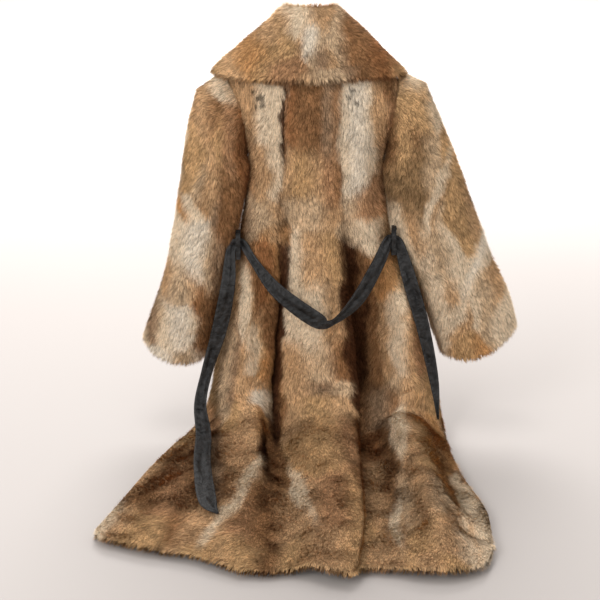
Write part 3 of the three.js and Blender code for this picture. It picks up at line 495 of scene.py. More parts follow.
COLLAR_PELTS = [
    (-112, 128, 60, 40, 0, "tan orange golden"),
    (-78, 92, 38, 30, 0, "tan tan golden"),
    (-20, 72, 42, 26, 0, "tan cream tan"),
    (4, 108, 24, 28, 0, "tan white ash"),
    (26, 138, 22, 20, 0, "ash grey_brown tan"),
    (84, 104, 36, 34, 0, "ash brown brown"),
    (142, 134, 50, 36, 0, "brown red_brown golden"),
    (-50, 164, 52, 20, 0, "golden rose rose"),
    (27, 174, 40, 16, 0, "tan ash ash"),
    (114, 168, 46, 20, 0, "grey_brown brown red_brown"),
    (-155, 166, 32, 20, 0, "golden tan tan"),
]
# Dark flecks of single pelts. columns: x, down, size
FLECKS = [
    (-95, 218, 9),
    (-88, 232, 7),
    (-104, 238, 6),
    (-112, 205, 6),
    (92, 205, 6),
    (84, 222, 5),
    (98, 236, 6),
]
# What the photographed side hides is sewn from rows of plain pelts: half sizes, and their colours in turn
PLAIN_PELTS = dict(wide=47, long=118, columns=9, rows=7, top=120, lap=0.9)
PLAIN_COLOURS = [
    "tan brown tan",
    "cream golden tan",
    "tan grey_brown ash",
    "golden rose cream",
    "ash brown tan",
]

# The stage, in metres. columns: place, aim, size, power
LAMPS = {
    "key": ((-1.7, -2.7, 1.3), (0, -0.1, -0.5), 1.3, 60),
    "top": ((-0.4, -0.6, 2.2), (0, -0.2, -0.5), 1.4, 26),
    "back": ((0, 5.6, 3.4), (0, 6.4, -0.95), 5.0, 1300),
}
CAMERA = dict(place=(-0.016, -2.38, 0.193), tilt=70, lens=70.2, sensor=36)
SKY = dict(colour=(0.95, 0.935, 0.925), strength=1.05)
FLOOR_HALF = 9600  # millimetres


def smooth(t):
    t = np.clip(t, 0, 1)
    return t * t * (3 - 2 * t)


def curve(values, at):
    """Smooth curves through evenly spaced rows of values, read at the places in at."""
    values = np.asarray(values, float)
    at = np.atleast_1d(np.asarray(at, float))
    last = len(values) - 1
    i = np.clip(np.floor(at).astype(int), 0, last - 1)
    ends = np.concatenate([[2 * values[0] - values[1]], values, [2 * values[-1] - values[-2]]])
    b = (at - i).reshape((-1,) + (1,) * (values.ndim - 1))
    a = 1 - b
    out, into = (ends[i + 2] - ends[i]) / 2, (ends[i + 3] - ends[i + 1]) / 2
    here, there = ends[i + 1], ends[i + 2]
    return a * a * (1 + 2 * b) * here + a * a * b * out + b * b * (1 + 2 * a) * there - a * b * b * into


def place(x, down, height):
    """Points of the body, from the distance down its middle surface and the height out of it"""
    angle = np.clip((down - TURN_START) / TURN_RADIUS, 0, math.pi / 2)
    radius = TURN_RADIUS - height
    straight = np.clip(down, None, TURN_START)
    along = np.clip(down - FLOOR_START, 0, None)
    y = radius * np.cos(angle) - TURN_RADIUS - along
    z = -straight - radius * np.sin(angle)
    return np.stack([x + 0 * y, y, z], -1)


def parting(down):
    return FUR_WALL * smooth((down - TURN_START) / TURN_LENGTH)


def unit(v):
    return v / np.maximum(np.linalg.norm(v, axis=-1, keepdims=True), 1e-9)


def run_along(points):
    """Distance of each point from the first, along a row of them"""
    return np.concatenate([[0], np.cumsum(np.linalg.norm(np.diff(points, axis=0), axis=1))])


def cell_areas(grid):
    diagonal = np.cross(grid[1:, 1:] - grid[:-1, :-1], grid[1:, :-1] - grid[:-1, 1:])
    return np.linalg.norm(diagonal, axis=-1) / 2


def hashed(cells, salt):
    """A repeatable number from 0 to 1 for each row of three whole numbers"""
    n = (cells.astype(np.int64) * np.array(HASH_STEPS, np.int64)).sum(-1)
    n = (n + salt * HASH_SALT) & HASH_MASK
    for shift, factor, addition in HASH_MIX:
        n = ((n ^ (n >> shift)) * factor + addition) & HASH_MASK
    return n / float(HASH_MASK)


def noise(points, size, salt):
    """Smooth noise from -1 to 1 at 3-D points"""
    q = points / size
    base = np.floor(q)
    t = smooth(q - base)
    total = 0
    for corner in np.ndindex(2, 2, 2):
        weight = np.prod(np.where(np.array(corner), t, 1 - t), -1)
        total = total + weight * hashed(base + np.array(corner), salt)
    return 2 * total - 1


def swayed(values, points, terms):
    """Values with the noise of a table's rows added to them"""
    for amount, size, salt in terms:
        values = values + amount * noise(points, size, salt)
    return values


def rows_of(table):
    return np.array(list(table.values()), float)


def section_depths(part, waist, reach):
    """Distance down of each section, from the waist seam's and from the reach of the hem past the turn"""
    sections = BODICE_SECTIONS if part == "bodice" else SKIRT_SECTIONS
    down = [waist if d is None else waist * 0 + d for d in sections.values()]
    if part == "skirt":
        down += [FLOOR_START + share * reach for share in FLOOR_SHARES.values()]
    return np.array(down, float)


def tables(part):
    """x, height and distance down of each fold line at each section"""
    x, height = rows_of(BODICE_X), rows_of(BODICE_H)
    if part == "skirt":
        x = np.hstack([x[:, -1:], rows_of(SKIRT_X)])
        height = np.hstack([height[:, -1:], rows_of(SKIRT_H)])
    return x, height, section_depths(part, *rows_of(FOLD_LINES).T).T


def back_at(part, u, v):
    """x, down and height on a grid, u in fold lines across the columns and v in sections down the rows"""
    x, height, down = tables(part)
    return [curve(curve(table, u).T, v) for table in (x, down, height)]


def creased(x, down):
    """Height that the soft creases add. Each one bends a little, and fades at both ends."""
    total = np.zeros_like(x)
    for from_x, from_down, to_x, to_down, wide, height in CREASES:
        reach = np.array([to_x - from_x, to_down - from_down])
        length = np.linalg.norm(reach)
        axis = reach / length
        along = (x - from_x) * axis[0] + (down - from_down) * axis[1]
        bend = CREASE["bend"] * np.sin(along / length * CREASE["turns"])
        off = (x - from_x) * axis[1] - (down - from_down) * axis[0] + bend
        ends = smooth(along / CREASE["fade"] + 0.5) * smooth((length - along) / CREASE["fade"] + 0.5)
        total += height * ends * np.exp(-((off / wide) ** 2))
    return total


def outward(points, up, lift, side):
    """Directions out of a surface given as a grid, turned out of the deep folds by lift"""
    along = np.gradient(points, axis=0)
    across = np.gradient(points, axis=1)
    out = unit(np.cross(along, across)) * side
    return unit(out + up * lift)


class Surface:
    """A grid of points with its outward directions, its way down, its chart of (x, down) and its painted
    fold shade
    """

    def __init__(self, points, out, chart, ring=False, light=None):
        self.points, self.out, self.chart, self.ring = points, out, chart, ring
        self.down = unit(np.gradient(points, axis=0))
        # light is the painted shade of deep folds, as a share of the colour, and all ones where none is
        # painted
        self.light = np.ones(points.shape[:2]) if light is None else light


def up_of(x, down, height):
    return place(x, down, height + 1) - place(x, down, height)


def back_surface(part, first, last):
    low, high = LINES.index(first), LINES.index(last)
    x, _, down = tables(part)
    columns = int(abs(x.max(1)[high] - x.min(1)[low]) * FOLDED / GRID) + LEAST_COLUMNS
    rows = int((down.max() - down.min()) / GRID)
    u = np.linspace(low, high, columns)
    v = np.linspace(0, x.shape[1] - 1, rows)
    gx, gdown, gh = back_at(part, u, v)
    gh = gh + creased(gx, gdown) * smooth((gh - CREASE["from_height"]) / CREASE["grows_over"])
    points = place(gx, gdown, gh)
    valleys = [1 - np.abs(u - LINES.index(line)) for line in ("left_valley", "right_valley")]
    lift = VALLEY_LIFT * np.clip(np.maximum(*valleys), 0, None)[None, :, None]
    out = outward(points, up_of(gx, gdown, gh), lift, 1)
    # The deep folds' shade is painted into the colour through the light grid.
    return Surface(points, out, np.stack([gx, gdown], -1), light=painted_fold_shading(gh))


def painted_fold_shading(height):
    """Painted shade and light of the hang: a share of the colour, less the deeper a place lies below what is
    beside it, a little more on crests.
    """
    padded = np.pad(height, ((0, 0), (PAINTED_SHADE_REACH, PAINTED_SHADE_REACH)), mode="edge")
    beside = 2 * PAINTED_SHADE_REACH + 1
    around = sum(padded[:, i : i + height.shape[1]] for i in range(beside)) / beside
    return np.clip(1 + (height - around) / PAINTED_FOLD_SHADING["depth"], PAINTED_FOLD_SHADING["least"], PAINTED_FOLD_SHADING["most"])


def front_surface(front, part):
    side = -1 if front == "left" else 1
    seam = LINES.index(front + "_seam")
    bodice = part == "bodice"
    full = FRONT_DEPTH if bodice else FRONT_SKIRT_DEPTH
    least = FRONT_SEAM if bodice else FRONT_SKIRT_SEAM
    x, _, down = tables(part)
    rows = int((down[seam].max() - down[seam].min()) / GRID)
    v = np.linspace(0, len(full) - 1, rows)
    turns, *widths = FRONT_COLUMNS
    turn_columns, rest = FRONT_GRID
    u = np.concatenate([
        np.linspace(0, turns, turn_columns)[:-1],
        np.linspace(turns, sum(FRONT_COLUMNS), rest),
    ])
    seam_x = curve(x[seam], v)[:, None]
    depth, seam_depth = curve(full, v)[:, None], curve(least, v)[:, None]
    seam_down = curve(down[seam], v)[:, None]
    edge_down = curve(section_depths(part, FRONT_WAIST, FRONT_REACH), v)[:, None]
    edge = FRONT_EDGE[front] + 0 * seam_x
    if front == "left":
        step_to = FRONT_EDGE["right"] + 0 * seam_x
        step_from = step_to - OVERLAP_RAMP
    else:
        step_from, step_to = (edge + (seam_x - edge) * share for share in FRONT_RAMP)
    turned = seam_x - side * np.minimum(FRONT_TURN, np.abs(seam_x - step_from) / 2)
    turn = np.clip(u / turns, 0, 1) * math.pi / 2
    past = np.clip(u - turns, 0, None)
    gx = turned + (seam_x - turned) * np.cos(turn)
    stations = (turned, step_from, step_to, edge)
    start = 0
    for width, here, there in zip(widths, stations, stations[1:]):
        t = np.clip((past - start) / width, 0, 1)
        gx = np.where(past > start, here + (there - here) * t, gx)
        start += width
    gdown = seam_down + (edge_down - seam_down) * smooth(past / widths[0])
    if bodice:
        beyond = side * gx
        drop = NECKLINE["drop"] * smooth(1 - np.clip(beyond, 0, None) / NECKLINE["half"])
        slant = NECKLINE["slant"] * np.clip(-beyond, 0, None)
        gdown = gdown + (drop + slant) * (1 - smooth(v[:, None] / NECKLINE["sections"]))
    middle = sum(FRONT_EDGE.values()) / 2
    fluted = 0 if bodice else smooth(v[:, None] / 2) * depth / full[0]
    free = smooth((np.abs(gx - middle) - FLUTE["clear"]) / FLUTE["fade"])
    flute = FLUTE["height"] * fluted * free * np.sin(turn) * np.sin(2 * math.pi * gx / FLUTE["length"])
    step_in = 0
    if front == "left":
        deep = OVERLAP_STEP + (FUR_WALL + 2 * GAP - OVERLAP_STEP) * parting(gdown) / FUR_WALL
        step_in = deep * smooth((gx - FRONT_EDGE["right"] + OVERLAP_RAMP) / OVERLAP_RAMP)
    gh = parting(gdown) / 2 - (seam_depth + (depth - seam_depth) * np.sin(turn) + flute - step_in)
    points = place(gx, gdown, gh)
    out = outward(points, 0 * points, 0, side)
    return Surface(points, out, np.stack([gx, gdown], -1))


def chart_of(points):
    """x and distance down of points that hang plumb"""
    return np.stack([points[..., 0], -points[..., 2]], -1)


def sleeve_surface(front):
    side = -1 if front == "left" else 1
    rings = rows_of(LEFT_SLEEVE if front == "left" else RIGHT_SLEEVE)
    columns, rows = SLEEVE_GRID
    t = np.linspace(0, 2, columns + 1)
    angle = math.pi * t
    share = np.where(t <= 1, t, 2 - t)
    x, h, down = tables("bodice")
    seam = LINES.index(front + "_seam")
    top, bottom = ARMHOLE_SECTIONS
    at = top + (bottom - top) * share
    hole_x = curve(x[seam], at) + side * (2 * GAP + ARMHOLE_STAND * np.cos(angle) ** 2)
    back_h, front_h = curve(h[seam], at), curve(FRONT_SEAM, at)
    hole = np.stack([hole_x, np.where(t <= 1, -back_h, front_h), -curve(down[seam], at)], -1)
    k = np.linspace(-1, len(rings) - 1, rows)[:, None]
    across = (1 + np.cos(angle)) / 2
    dip = CUFF_DIP * np.sin(angle) ** 2 * smooth((k - len(rings) + 3) / 2)
    ix, iz, ox, oz, deep, y = curve(rings, np.clip(k[:, 0], 0, None)).T[..., None]
    oval = np.stack(
        [
            side * (ix + (ox - ix) * across),
            y - deep * np.sin(angle),
            iz + (oz - iz) * across - dip,
        ],
        -1,
    )
    first = np.clip(k + 1, 0, 1)[..., None]
    points = hole[None] * (1 - first) + oval * first
    fade = smooth(k - SLEEVE_CLOSER["start"]) * smooth(SLEEVE_CLOSER["end"] - k)
    points[..., 0] -= side * (SLEEVE_CLOSER["by"] * (1 - across) ** 2 * fade)
    folds = 0
    for ring, turn, lean, depth in SLEEVE_FOLDS:
        off = k - ring - lean * np.sin(angle[None] - math.pi * turn)
        folds = folds - depth * np.exp(-((off / SLEEVE_FOLD_WIDE) ** 2)) * np.sin(angle)[None] ** 2
    centre = points[:, :-1].mean(1, keepdims=True)
    out = outward(points, 0 * points, 0, 1)
    out[:, 0] = out[:, -1] = unit(out[:, 0] + out[:, -1])
    flip = np.sign((out * (points - centre)).sum((1, 2)))[:, None, None]
    out = out * flip
    points = points + out * (folds * smooth(k + 0.5))[..., None]
    return Surface(points, out, chart_of(points), ring=True)


def collar_surface():
    rings = rows_of(COLLAR_RINGS)
    columns, rows = COLLAR_GRID
    angle = np.radians(np.linspace(-COLLAR["end"], COLLAR["end"], columns))
    k = np.linspace(0, len(rings) - 1, rows)[:, None]
    left, right, back, front, z = curve(rings, k[:, 0]).T[..., None]
    wide = np.where(angle < 0, left, right)
    deep = np.where(np.cos(angle) > 0, back, front)
    drop = np.where(np.cos(angle) > 0, 0, NECKLINE["drop"] * smooth(1 - np.abs(np.sin(angle))))
    dip = COLLAR["dip"] * k / (len(rings) - 1) * np.clip(np.cos(angle), 0, None)
    dip = dip * smooth(k - COLLAR["dip_from"])
    wave = np.sin(COLLAR_WAVE["turns"] * angle + COLLAR_WAVE["shift"])
    wave = COLLAR_WAVE["height"] * wave * smooth((k - COLLAR_WAVE["start"]) / COLLAR_WAVE["fade"])
    points = np.stack([wide * np.sin(angle), -deep * np.cos(angle), z - drop - dip + wave], -1)
    return Surface(points, outward(points, 0 * points, 0, 1), chart_of(points))


def mesh_object(name, verts, faces, materials, indices=None):
    mesh = bpy.data.meshes.new(name)
    mesh.from_pydata((np.asarray(verts) * MM).tolist(), [], faces)
    for material in materials:
        mesh.materials.append(material)
    if indices is not None:
        mesh.polygons.foreach_set("material_index", np.asarray(indices, np.int32))
    mesh.polygons.foreach_set("use_smooth", np.ones(len(mesh.polygons), bool))
    mesh.update()
    return placed(name, mesh)


def placed(name, data):
    """A new object of the scene"""
    obj = bpy.data.objects.new(name, data)
    bpy.context.scene.collection.objects.link(obj)
    return obj


def wall_faces(rows, columns, ring=False):
    """Quads of a closed wall's outer face, inner face and rim, from its outer and then its inner vertices"""
    count = columns - 1 if ring else columns

    def at(side, i, j):
        return (side * rows + i) * count + j % count

    r, c = np.meshgrid(np.arange(rows - 1), np.arange(columns - 1), indexing="ij")
    outer = np.stack([at(0, r, c), at(0, r, c + 1), at(0, r + 1, c + 1), at(0, r + 1, c)], -1).reshape(-1, 4)
    inner = np.stack([at(1, r, c), at(1, r + 1, c), at(1, r + 1, c + 1), at(1, r, c + 1)], -1).reshape(-1, 4)
    j, last = np.arange(columns - 1), rows - 1
    rims = [
        np.stack([at(0, 0, j), at(1, 0, j), at(1, 0, j + 1), at(0, 0, j + 1)], -1),
        np.stack([at(0, last, j), at(0, last, j + 1), at(1, last, j + 1), at(1, last, j)], -1),
    ]
    if not ring:
        i, end = np.arange(rows - 1), columns - 1
        rims += [
            np.stack([at(0, i, 0), at(0, i + 1, 0), at(1, i + 1, 0), at(1, i, 0)], -1),
            np.stack([at(0, i, end), at(1, i, end), at(1, i + 1, end), at(0, i + 1, end)], -1),
        ]
    return outer, inner, np.concatenate(rims)


def facing_out(verts, faces):
    """Quads of a closed body, turned round if they face inwards"""
    a, b, c, d = (verts[faces[:, i]] for i in range(4))
    volume = (a * np.cross(b, c)).sum() + (a * np.cross(c, d)).sum()
    return faces[:, ::-1] if volume < 0 else faces


def shell(name, surface, pelts, skin, inside, thicker):
    """A closed wall round a surface, its skin in the pelts' darker underwool outside and lining inside"""
    rows, columns = surface.points.shape[:2]
    count = columns - 1 if surface.ring else columns
    p, out = surface.points[:, :count], surface.out[:, :count]
    verts = np.concatenate([(p + out * by).reshape(-1, 3) for by in (SKIN_OUT + thicker, SKIN_IN - thicker)])
    parts = wall_faces(rows, columns, surface.ring)
    faces = facing_out(verts, np.concatenate(parts))
    verts[:, 2] = np.maximum(verts[:, 2], FLOOR_Z)
    indices = np.repeat([0, 1, 0], [len(part) for part in parts])
    body = mesh_object(name, verts, faces.tolist(), [skin, inside], indices)
    spots = surface.chart[:, :count].reshape(-1, 2)
    # Painted shade: the fold shading darkens the underwool's colour in deep folds, as it does the hairs'.
    light = surface.light[:, :count].reshape(-1, 1)
    wool = tint_of(p.reshape(-1, 3), spots, pelts, np.random.default_rng(SEED)) * light * UNDERWOOL
    paint(body.data, np.concatenate([wool, wool]))
    return body


def paint(mesh, colours):
    tints = mesh.color_attributes.new("tint", "FLOAT_COLOR", "POINT")
    rows = np.column_stack([colours, np.ones(len(colours))])
    tints.data.foreach_set("color", rows.astype(np.float32).ravel())


def plain_pelts():
    """Rows of pelts for the fronts, every other row shifted by half a pelt"""
    wide, long, columns, rows = (PLAIN_PELTS[key] for key in ("wide", "long", "columns", "rows"))
    pelts = []
    for row, column in np.ndindex(rows, columns):
        x = (column - columns / 2 + 0.5 * (row % 2)) * 2 * wide
        down = PLAIN_PELTS["top"] + (2 * row + 1) * long * PLAIN_PELTS["lap"]
        pelts.append((x, down, wide, long, 0, PLAIN_COLOURS[(2 * row + 3 * column) % len(PLAIN_COLOURS)]))
    return pelts


def tint_of(roots, chart, pelts, rng):
    """Each root's colour on its pelt's flanks or back, mixed hair by hair where two pelts meet"""
    x = swayed(chart[:, 0], roots, PELT_ACROSS_NOISE)
    down = swayed(chart[:, 1], roots, PELT_DOWN_NOISE)
    tint, weights = np.zeros((len(x), 3)), np.zeros((len(x), 1))
    for px, pdown, wide, long, lean, names in pelts:
        along = down - pdown
        across = (x - px - lean * along) / wide
        far = across**2 + (along / long) ** 2 + rng.normal(0, SPREAD["pelt"], len(x))
        left, back, right = (np.array(COLOURS[name]) for name in names.split())
        flank = np.where(across[:, None] < 0, left, right)
        colour = back + (flank - back) * smooth(np.abs(across) * FLANK[0] + FLANK[1])[:, None]
        weight = np.exp(-PELT_EDGE * np.minimum(far, PELT_FAR))[:, None]
        tint += colour * weight
        weights += weight
    tint = tint / weights * swayed(1, roots, PELT_SHADE_NOISE)[:, None]
    for fx, fdown, size in FLECKS:
        near = np.hypot(x - fx, down - fdown) < size
        tint[near & (roots[:, 1] < 0)] *= FLECK_TONE
    return tint


def tufts(points):
    """The tuft that each point falls in: its centre and a number for it from 0 to 1"""
    cell = np.floor(points / TUFT)
    best = np.full(len(points), np.inf)
    centre = np.zeros_like(points)
    mark = np.zeros(len(points))
    *place_salts, mark_salt = TUFT_SALTS
    for step in np.ndindex(3, 3, 3):
        other = cell + np.array(step) - 1
        spot = (other + np.stack([hashed(other, salt) for salt in place_salts], -1)) * TUFT
        far = ((spot - points) ** 2).sum(-1)
        closer = far < best
        best = np.where(closer, far, best)
        centre[closer] = spot[closer]
        mark[closer] = hashed(other, mark_salt)[closer]
    return centre, mark


def thinned(count):
    return int(count) // 1


def rim_roots(surface, edge, rng):
    """Roots along a free edge, which stand off it sideways: places, out, nap, charts and painted fold shade
    """
    pick = {"hem": np.s_[-1], "first": np.s_[:, 0], "last": np.s_[:, -1]}[edge]
    p, out, down, spots = (grid[pick] for grid in (surface.points, surface.out, surface.down, surface.chart))
    run = run_along(p)
    count = thinned(run[-1] * RIM_HAIRS)
    at = np.interp(rng.random(count) * run[-1], run, np.arange(len(run)))
    low = np.minimum(at.astype(int), len(run) - 2)
    share = (at - low)[:, None]
    p, out, down, spots = (v[low] * (1 - share) + v[low + 1] * share for v in (p, out, down, spots))
    away = down
    if edge != "hem":
        outer, next_in = (-1, -2) if edge == "last" else (0, 1)
        away = -unit((surface.points[:, next_in] - surface.points[:, outer])[low])
    through = rng.random((count, 1)) * RIM_DEPTH
    base = p + out * (SKIN_OUT - ROOT_DEPTH + (SKIN_IN - SKIN_OUT) * through)
    n = unit(away + out * (RIM_FAN[0] + RIM_FAN[1] * through))
    nap = unit(down + RIM_NAP * away)
    return base, n, nap, spots, surface.light[pick][low][:, None]


def sheet_roots(surface, rng, keep):
    """Roots all over a sheet, or where keep allows them, as rim_roots gives them"""
    root = surface.points + surface.out * (SKIN_OUT - ROOT_DEPTH)
    area = cell_areas(root)
    if keep is not None:
        area = area * keep(surface.points[:-1, :-1], surface.out[:-1, :-1])
    count = thinned(min(area.sum() / 100 * HAIRS, MOST_HAIRS))
    cell = rng.choice(area.size, count, p=(area / area.sum()).ravel())
    r, c = np.divmod(cell, area.shape[1])
    fr, fc = rng.random(count)[:, None], rng.random(count)[:, None]

    def at(grid):
        grid = grid.reshape(grid.shape[:2] + (-1,))
        top = grid[r, c] * (1 - fc) + grid[r, c + 1] * fc
        return top * (1 - fr) + (grid[r + 1, c] * (1 - fc) + grid[r + 1, c + 1] * fc) * fr

    return at(root), unit(at(surface.out)), unit(at(surface.down)), at(surface.chart), at(surface.light)


def fur(name, surface, seed, pelts, material, rims, keep):
    """A piece's hairs as one mesh of blades that leave the skin along the nap and lean into their tufts"""
    rng = np.random.default_rng(SEED + seed)
    roots = [sheet_roots(surface, rng, keep)] + [rim_roots(surface, edge, rng) for edge in rims]
    base, n, nap, spots, light = (np.concatenate(column) for column in zip(*roots))
    count = len(base)
    sideways = unit(np.cross(n, nap))
    swirl = swayed(0, base, SWIRL_NOISE) + rng.normal(0, SPREAD["swirl"], count)
    lay = unit(nap + sideways * swirl[:, None])
    rise = HAIR_RISE * (swayed(1, base, RISE_NOISE) + rng.normal(0, SPREAD["rise"], count))
    rise = np.clip(rise, *RISE_LIMITS)[:, None]
    centre, mark = tufts(base)
    pull = centre - base
    pull = pull - n * (pull * n).sum(-1, keepdims=True)
    long = HAIR_LONG * swayed(1 + rng.normal(0, SPREAD["length"], count), base, LENGTH_NOISE)[:, None]
    tip = base + (lay * (1 - rise) + n * rise * RISE_OUT) * long + pull * TUFT_PULL
    wide = unit(np.cross(n, tip - base)) * (HAIR_WIDE / 2)
    verts = np.stack([base + wide, base - wide, tip], 1).reshape(-1, 3)
    verts[:, 2] = np.maximum(verts[:, 2], FLOOR_Z + FLOOR_CLEAR)

    # Painted shade: hairs in deep folds get darker colour, lighter on crests.
    tint = tint_of(base, spots, pelts, rng) * light
    tone = 1 + TUFT_TONE * (mark - 0.5) + rng.normal(0, SPREAD["tone"], count)
    kind = swayed(rng.random(count), base, TICK_NOISE)
    dark = np.where(kind < DARK_TICK[0], DARK_TICK[1], TIP_TONE)
    ticked = np.where(kind > LIGHT_TICK[0], LIGHT_TICK[1], dark)
    shades = np.stack([ROOT_TONE * tone, ROOT_TONE * tone, tone * ticked], -1)
    colours = (tint[:, None, :] * shades[..., None]).reshape(-1, 3)
    colours *= np.minimum(1, BRIGHTEST / colours.max(-1, keepdims=True))

    mesh = bpy.data.meshes.new(name)
    mesh.vertices.add(len(verts))
    mesh.vertices.foreach_set("co", (verts * MM).astype(np.float32).ravel())
    mesh.loops.add(len(verts))
    mesh.loops.foreach_set("vertex_index", np.arange(len(verts), dtype=np.int32))
    mesh.polygons.add(count)
    mesh.polygons.foreach_set("loop_start", np.arange(0, 3 * count, 3, dtype=np.int32))
    mesh.polygons.foreach_set("use_smooth", np.ones(count, bool))
    mesh.update(calc_edges=True)
    paint(mesh, colours)
    soft = unit(n + SPREAD["normal"] * rng.normal(0, 1, (count, 3)) - pull * (TUFT_ROUND / TUFT))
    mesh.normals_split_custom_set_from_vertices(np.repeat(soft, 3, 0).astype(np.float32))
    mesh.materials.append(material)
    return placed(name, mesh)


class Shader:
    """A new material, with the steps that the materials share"""

    def __init__(self, name, **settings):
        self.material = bpy.data.materials.new(name)
        self.material.use_nodes = True
        self.tree = self.material.node_tree
        self.surface = self.tree.nodes["Principled BSDF"]
        for key, value in settings.items():
            self.surface.inputs[key.replace("_", " ")].default_value = value
        self.place = self.add("TexCoord").outputs["Object"]

    def add(self, kind, links=(), **values):
        """A node with its settings, and its inputs linked or given values"""
        node = self.tree.nodes.new("ShaderNode" + kind)
        for key, value in values.items():
            setattr(node, key, value)
        for socket, source in links:
            if isinstance(source, bpy.types.NodeSocket):
                self.tree.links.new(source, node.inputs[socket])
            else:
                node.inputs[socket].default_value = source
        return node

    def grain(self, scale, detail=2.0, stretch=None):
        """Noise in the object's own space, drawn out by stretch"""
        place = self.place
        if stretch:
            place = self.add("Mapping", [("Vector", place), ("Scale", stretch)]).outputs["Vector"]
        return self.add("TexNoise", [("Vector", place), ("Scale", scale), ("Detail", detail)]).outputs["Fac"]

    def ranged(self, value, low, high):
        return self.add("MapRange", [("Value", value), ("To Min", low), ("To Max", high)]).outputs["Result"]

    def ramp(self, value, dark, light, ends=(0, 1)):
        """The material's colour, from dark to light"""
        ramp = self.add("ValToRGB", [("Fac", value)])
        for element, end, colour in zip(ramp.color_ramp.elements, ends, (dark, light)):
            element.position = end
            element.color = (*colour, 1)
        self.give("Base Color", ramp.outputs["Color"])

    def give(self, name, value):
        self.tree.links.new(value, self.surface.inputs[name])

    def bump(self, height, strength, distance):
        bump = self.add("Bump", [("Height", height), ("Strength", strength), ("Distance", distance)])
        self.give("Normal", bump.outputs["Normal"])


def tinted(shader, grain, low, high):
    """Colours a shader by its mesh's own tint, lighter and darker with the grain"""
    tint = shader.add("VertexColor", layer_name="tint").outputs["Color"]
    spread = shader.ranged(grain, low, high)
    mixed = shader.add("VectorMath", [(0, tint), ("Scale", spread)], operation="SCALE")
    shader.give("Base Color", mixed.outputs["Vector"])


def fur_material():
    shader = Shader("fur_hair", Roughness=0.8, Specular_IOR_Level=0.04)
    tinted(shader, shader.grain(260.0, 3.0), 0.72, 1.28)
    return shader.material


def skin_material():
    shader = Shader("fur_underwool", Roughness=0.95, Specular_IOR_Level=0.03)
    grain = shader.grain(130.0, 5.0)
    tinted(shader, grain, 0.5, 1.4)
    shader.bump(grain, 0.8, 0.003)
    return shader.material


def satin_material():
    shader = Shader("lining_satin", Roughness=0.42, Specular_IOR_Level=0.4, Sheen_Weight=0.2)
    thread = shader.grain(1.0, stretch=(900.0, 900.0, 90.0))
    shader.ramp(thread, (0.010, 0.009, 0.009), (0.030, 0.028, 0.027))
    shader.bump(thread, 0.3, 0.0004)
    return shader.material


def leather_material():
    shader = Shader("belt_leather", Specular_IOR_Level=0.3)
    pores = shader.add("TexVoronoi", [("Vector", shader.place), ("Scale", 620.0)])
    cloud, crease = shader.grain(75.0, 5.0), shader.grain(110.0, 3.0)
    shader.ramp(cloud, (0.002, 0.002, 0.002), (0.021, 0.020, 0.020), (0.38, 0.68))
    shader.give("Roughness", shader.ranged(cloud, 0.26, 0.6))
    pair = [(0, pores.outputs["Distance"]), (1, 0.15), (2, crease)]
    relief = shader.add("Math", pair, operation="MULTIPLY_ADD")
    shader.bump(relief.outputs["Value"], 0.9, 0.006)
    return shader.material


def thread_material():
    shader = Shader("belt_thread", Roughness=0.7)
    shader.ramp(shader.grain(1500.0), (0.03, 0.03, 0.032), (0.11, 0.105, 0.1))
    return shader.material


def wood_material():
    shader = Shader("hanger_wood", Specular_IOR_Level=0.5, Coat_Weight=0.25, Coat_Roughness=0.2)
    grain = shader.grain(2.5, 6.0, (6.0, 90.0, 90.0))
    shader.ramp(grain, (0.300, 0.150, 0.062), (0.620, 0.400, 0.210))
    shader.give("Roughness", shader.ranged(grain, 0.32, 0.5))
    shader.bump(grain, 0.15, 0.0005)
    return shader.material


def wire_material():
    shader = Shader("hook_wire", Metallic=1.0)
    drawn = shader.grain(400.0, 3.0)
    shader.ramp(drawn, (0.50, 0.50, 0.51), (0.68, 0.68, 0.69))
    shader.give("Roughness", shader.ranged(drawn, 0.2, 0.36))
    return shader.material


def floor_material():
    shader = Shader("floor_paper", Roughness=0.9, Specular_IOR_Level=0.1)
    shader.ramp(shader.grain(0.8), (0.375, 0.345, 0.328), (0.400, 0.370, 0.352))
    return shader.material


def wrinkled(run, across):
    """Height that the belt's wrinkles add, none at its edges"""
    run = run[:, None]
    sway = BELT_FOLD["sway"] * np.sin(run / BELT_FOLD["sway_length"])
    total = np.exp(-(((across - sway) / BELT_FOLD["wide"]) ** 2))
    total = BELT_FOLD["height"] * (np.sin(run / BELT_FOLD["length"] + BELT_FOLD["shift"]) * total)
    for height, length, sway, sway_length, waves, drift in BELT_WRINKLES:
        lengthwise = np.sin(run / length + sway * np.sin(run / sway_length))
        total = total + height * (lengthwise * np.cos(across * waves + run / drift))
    return total * (1 - across**4)


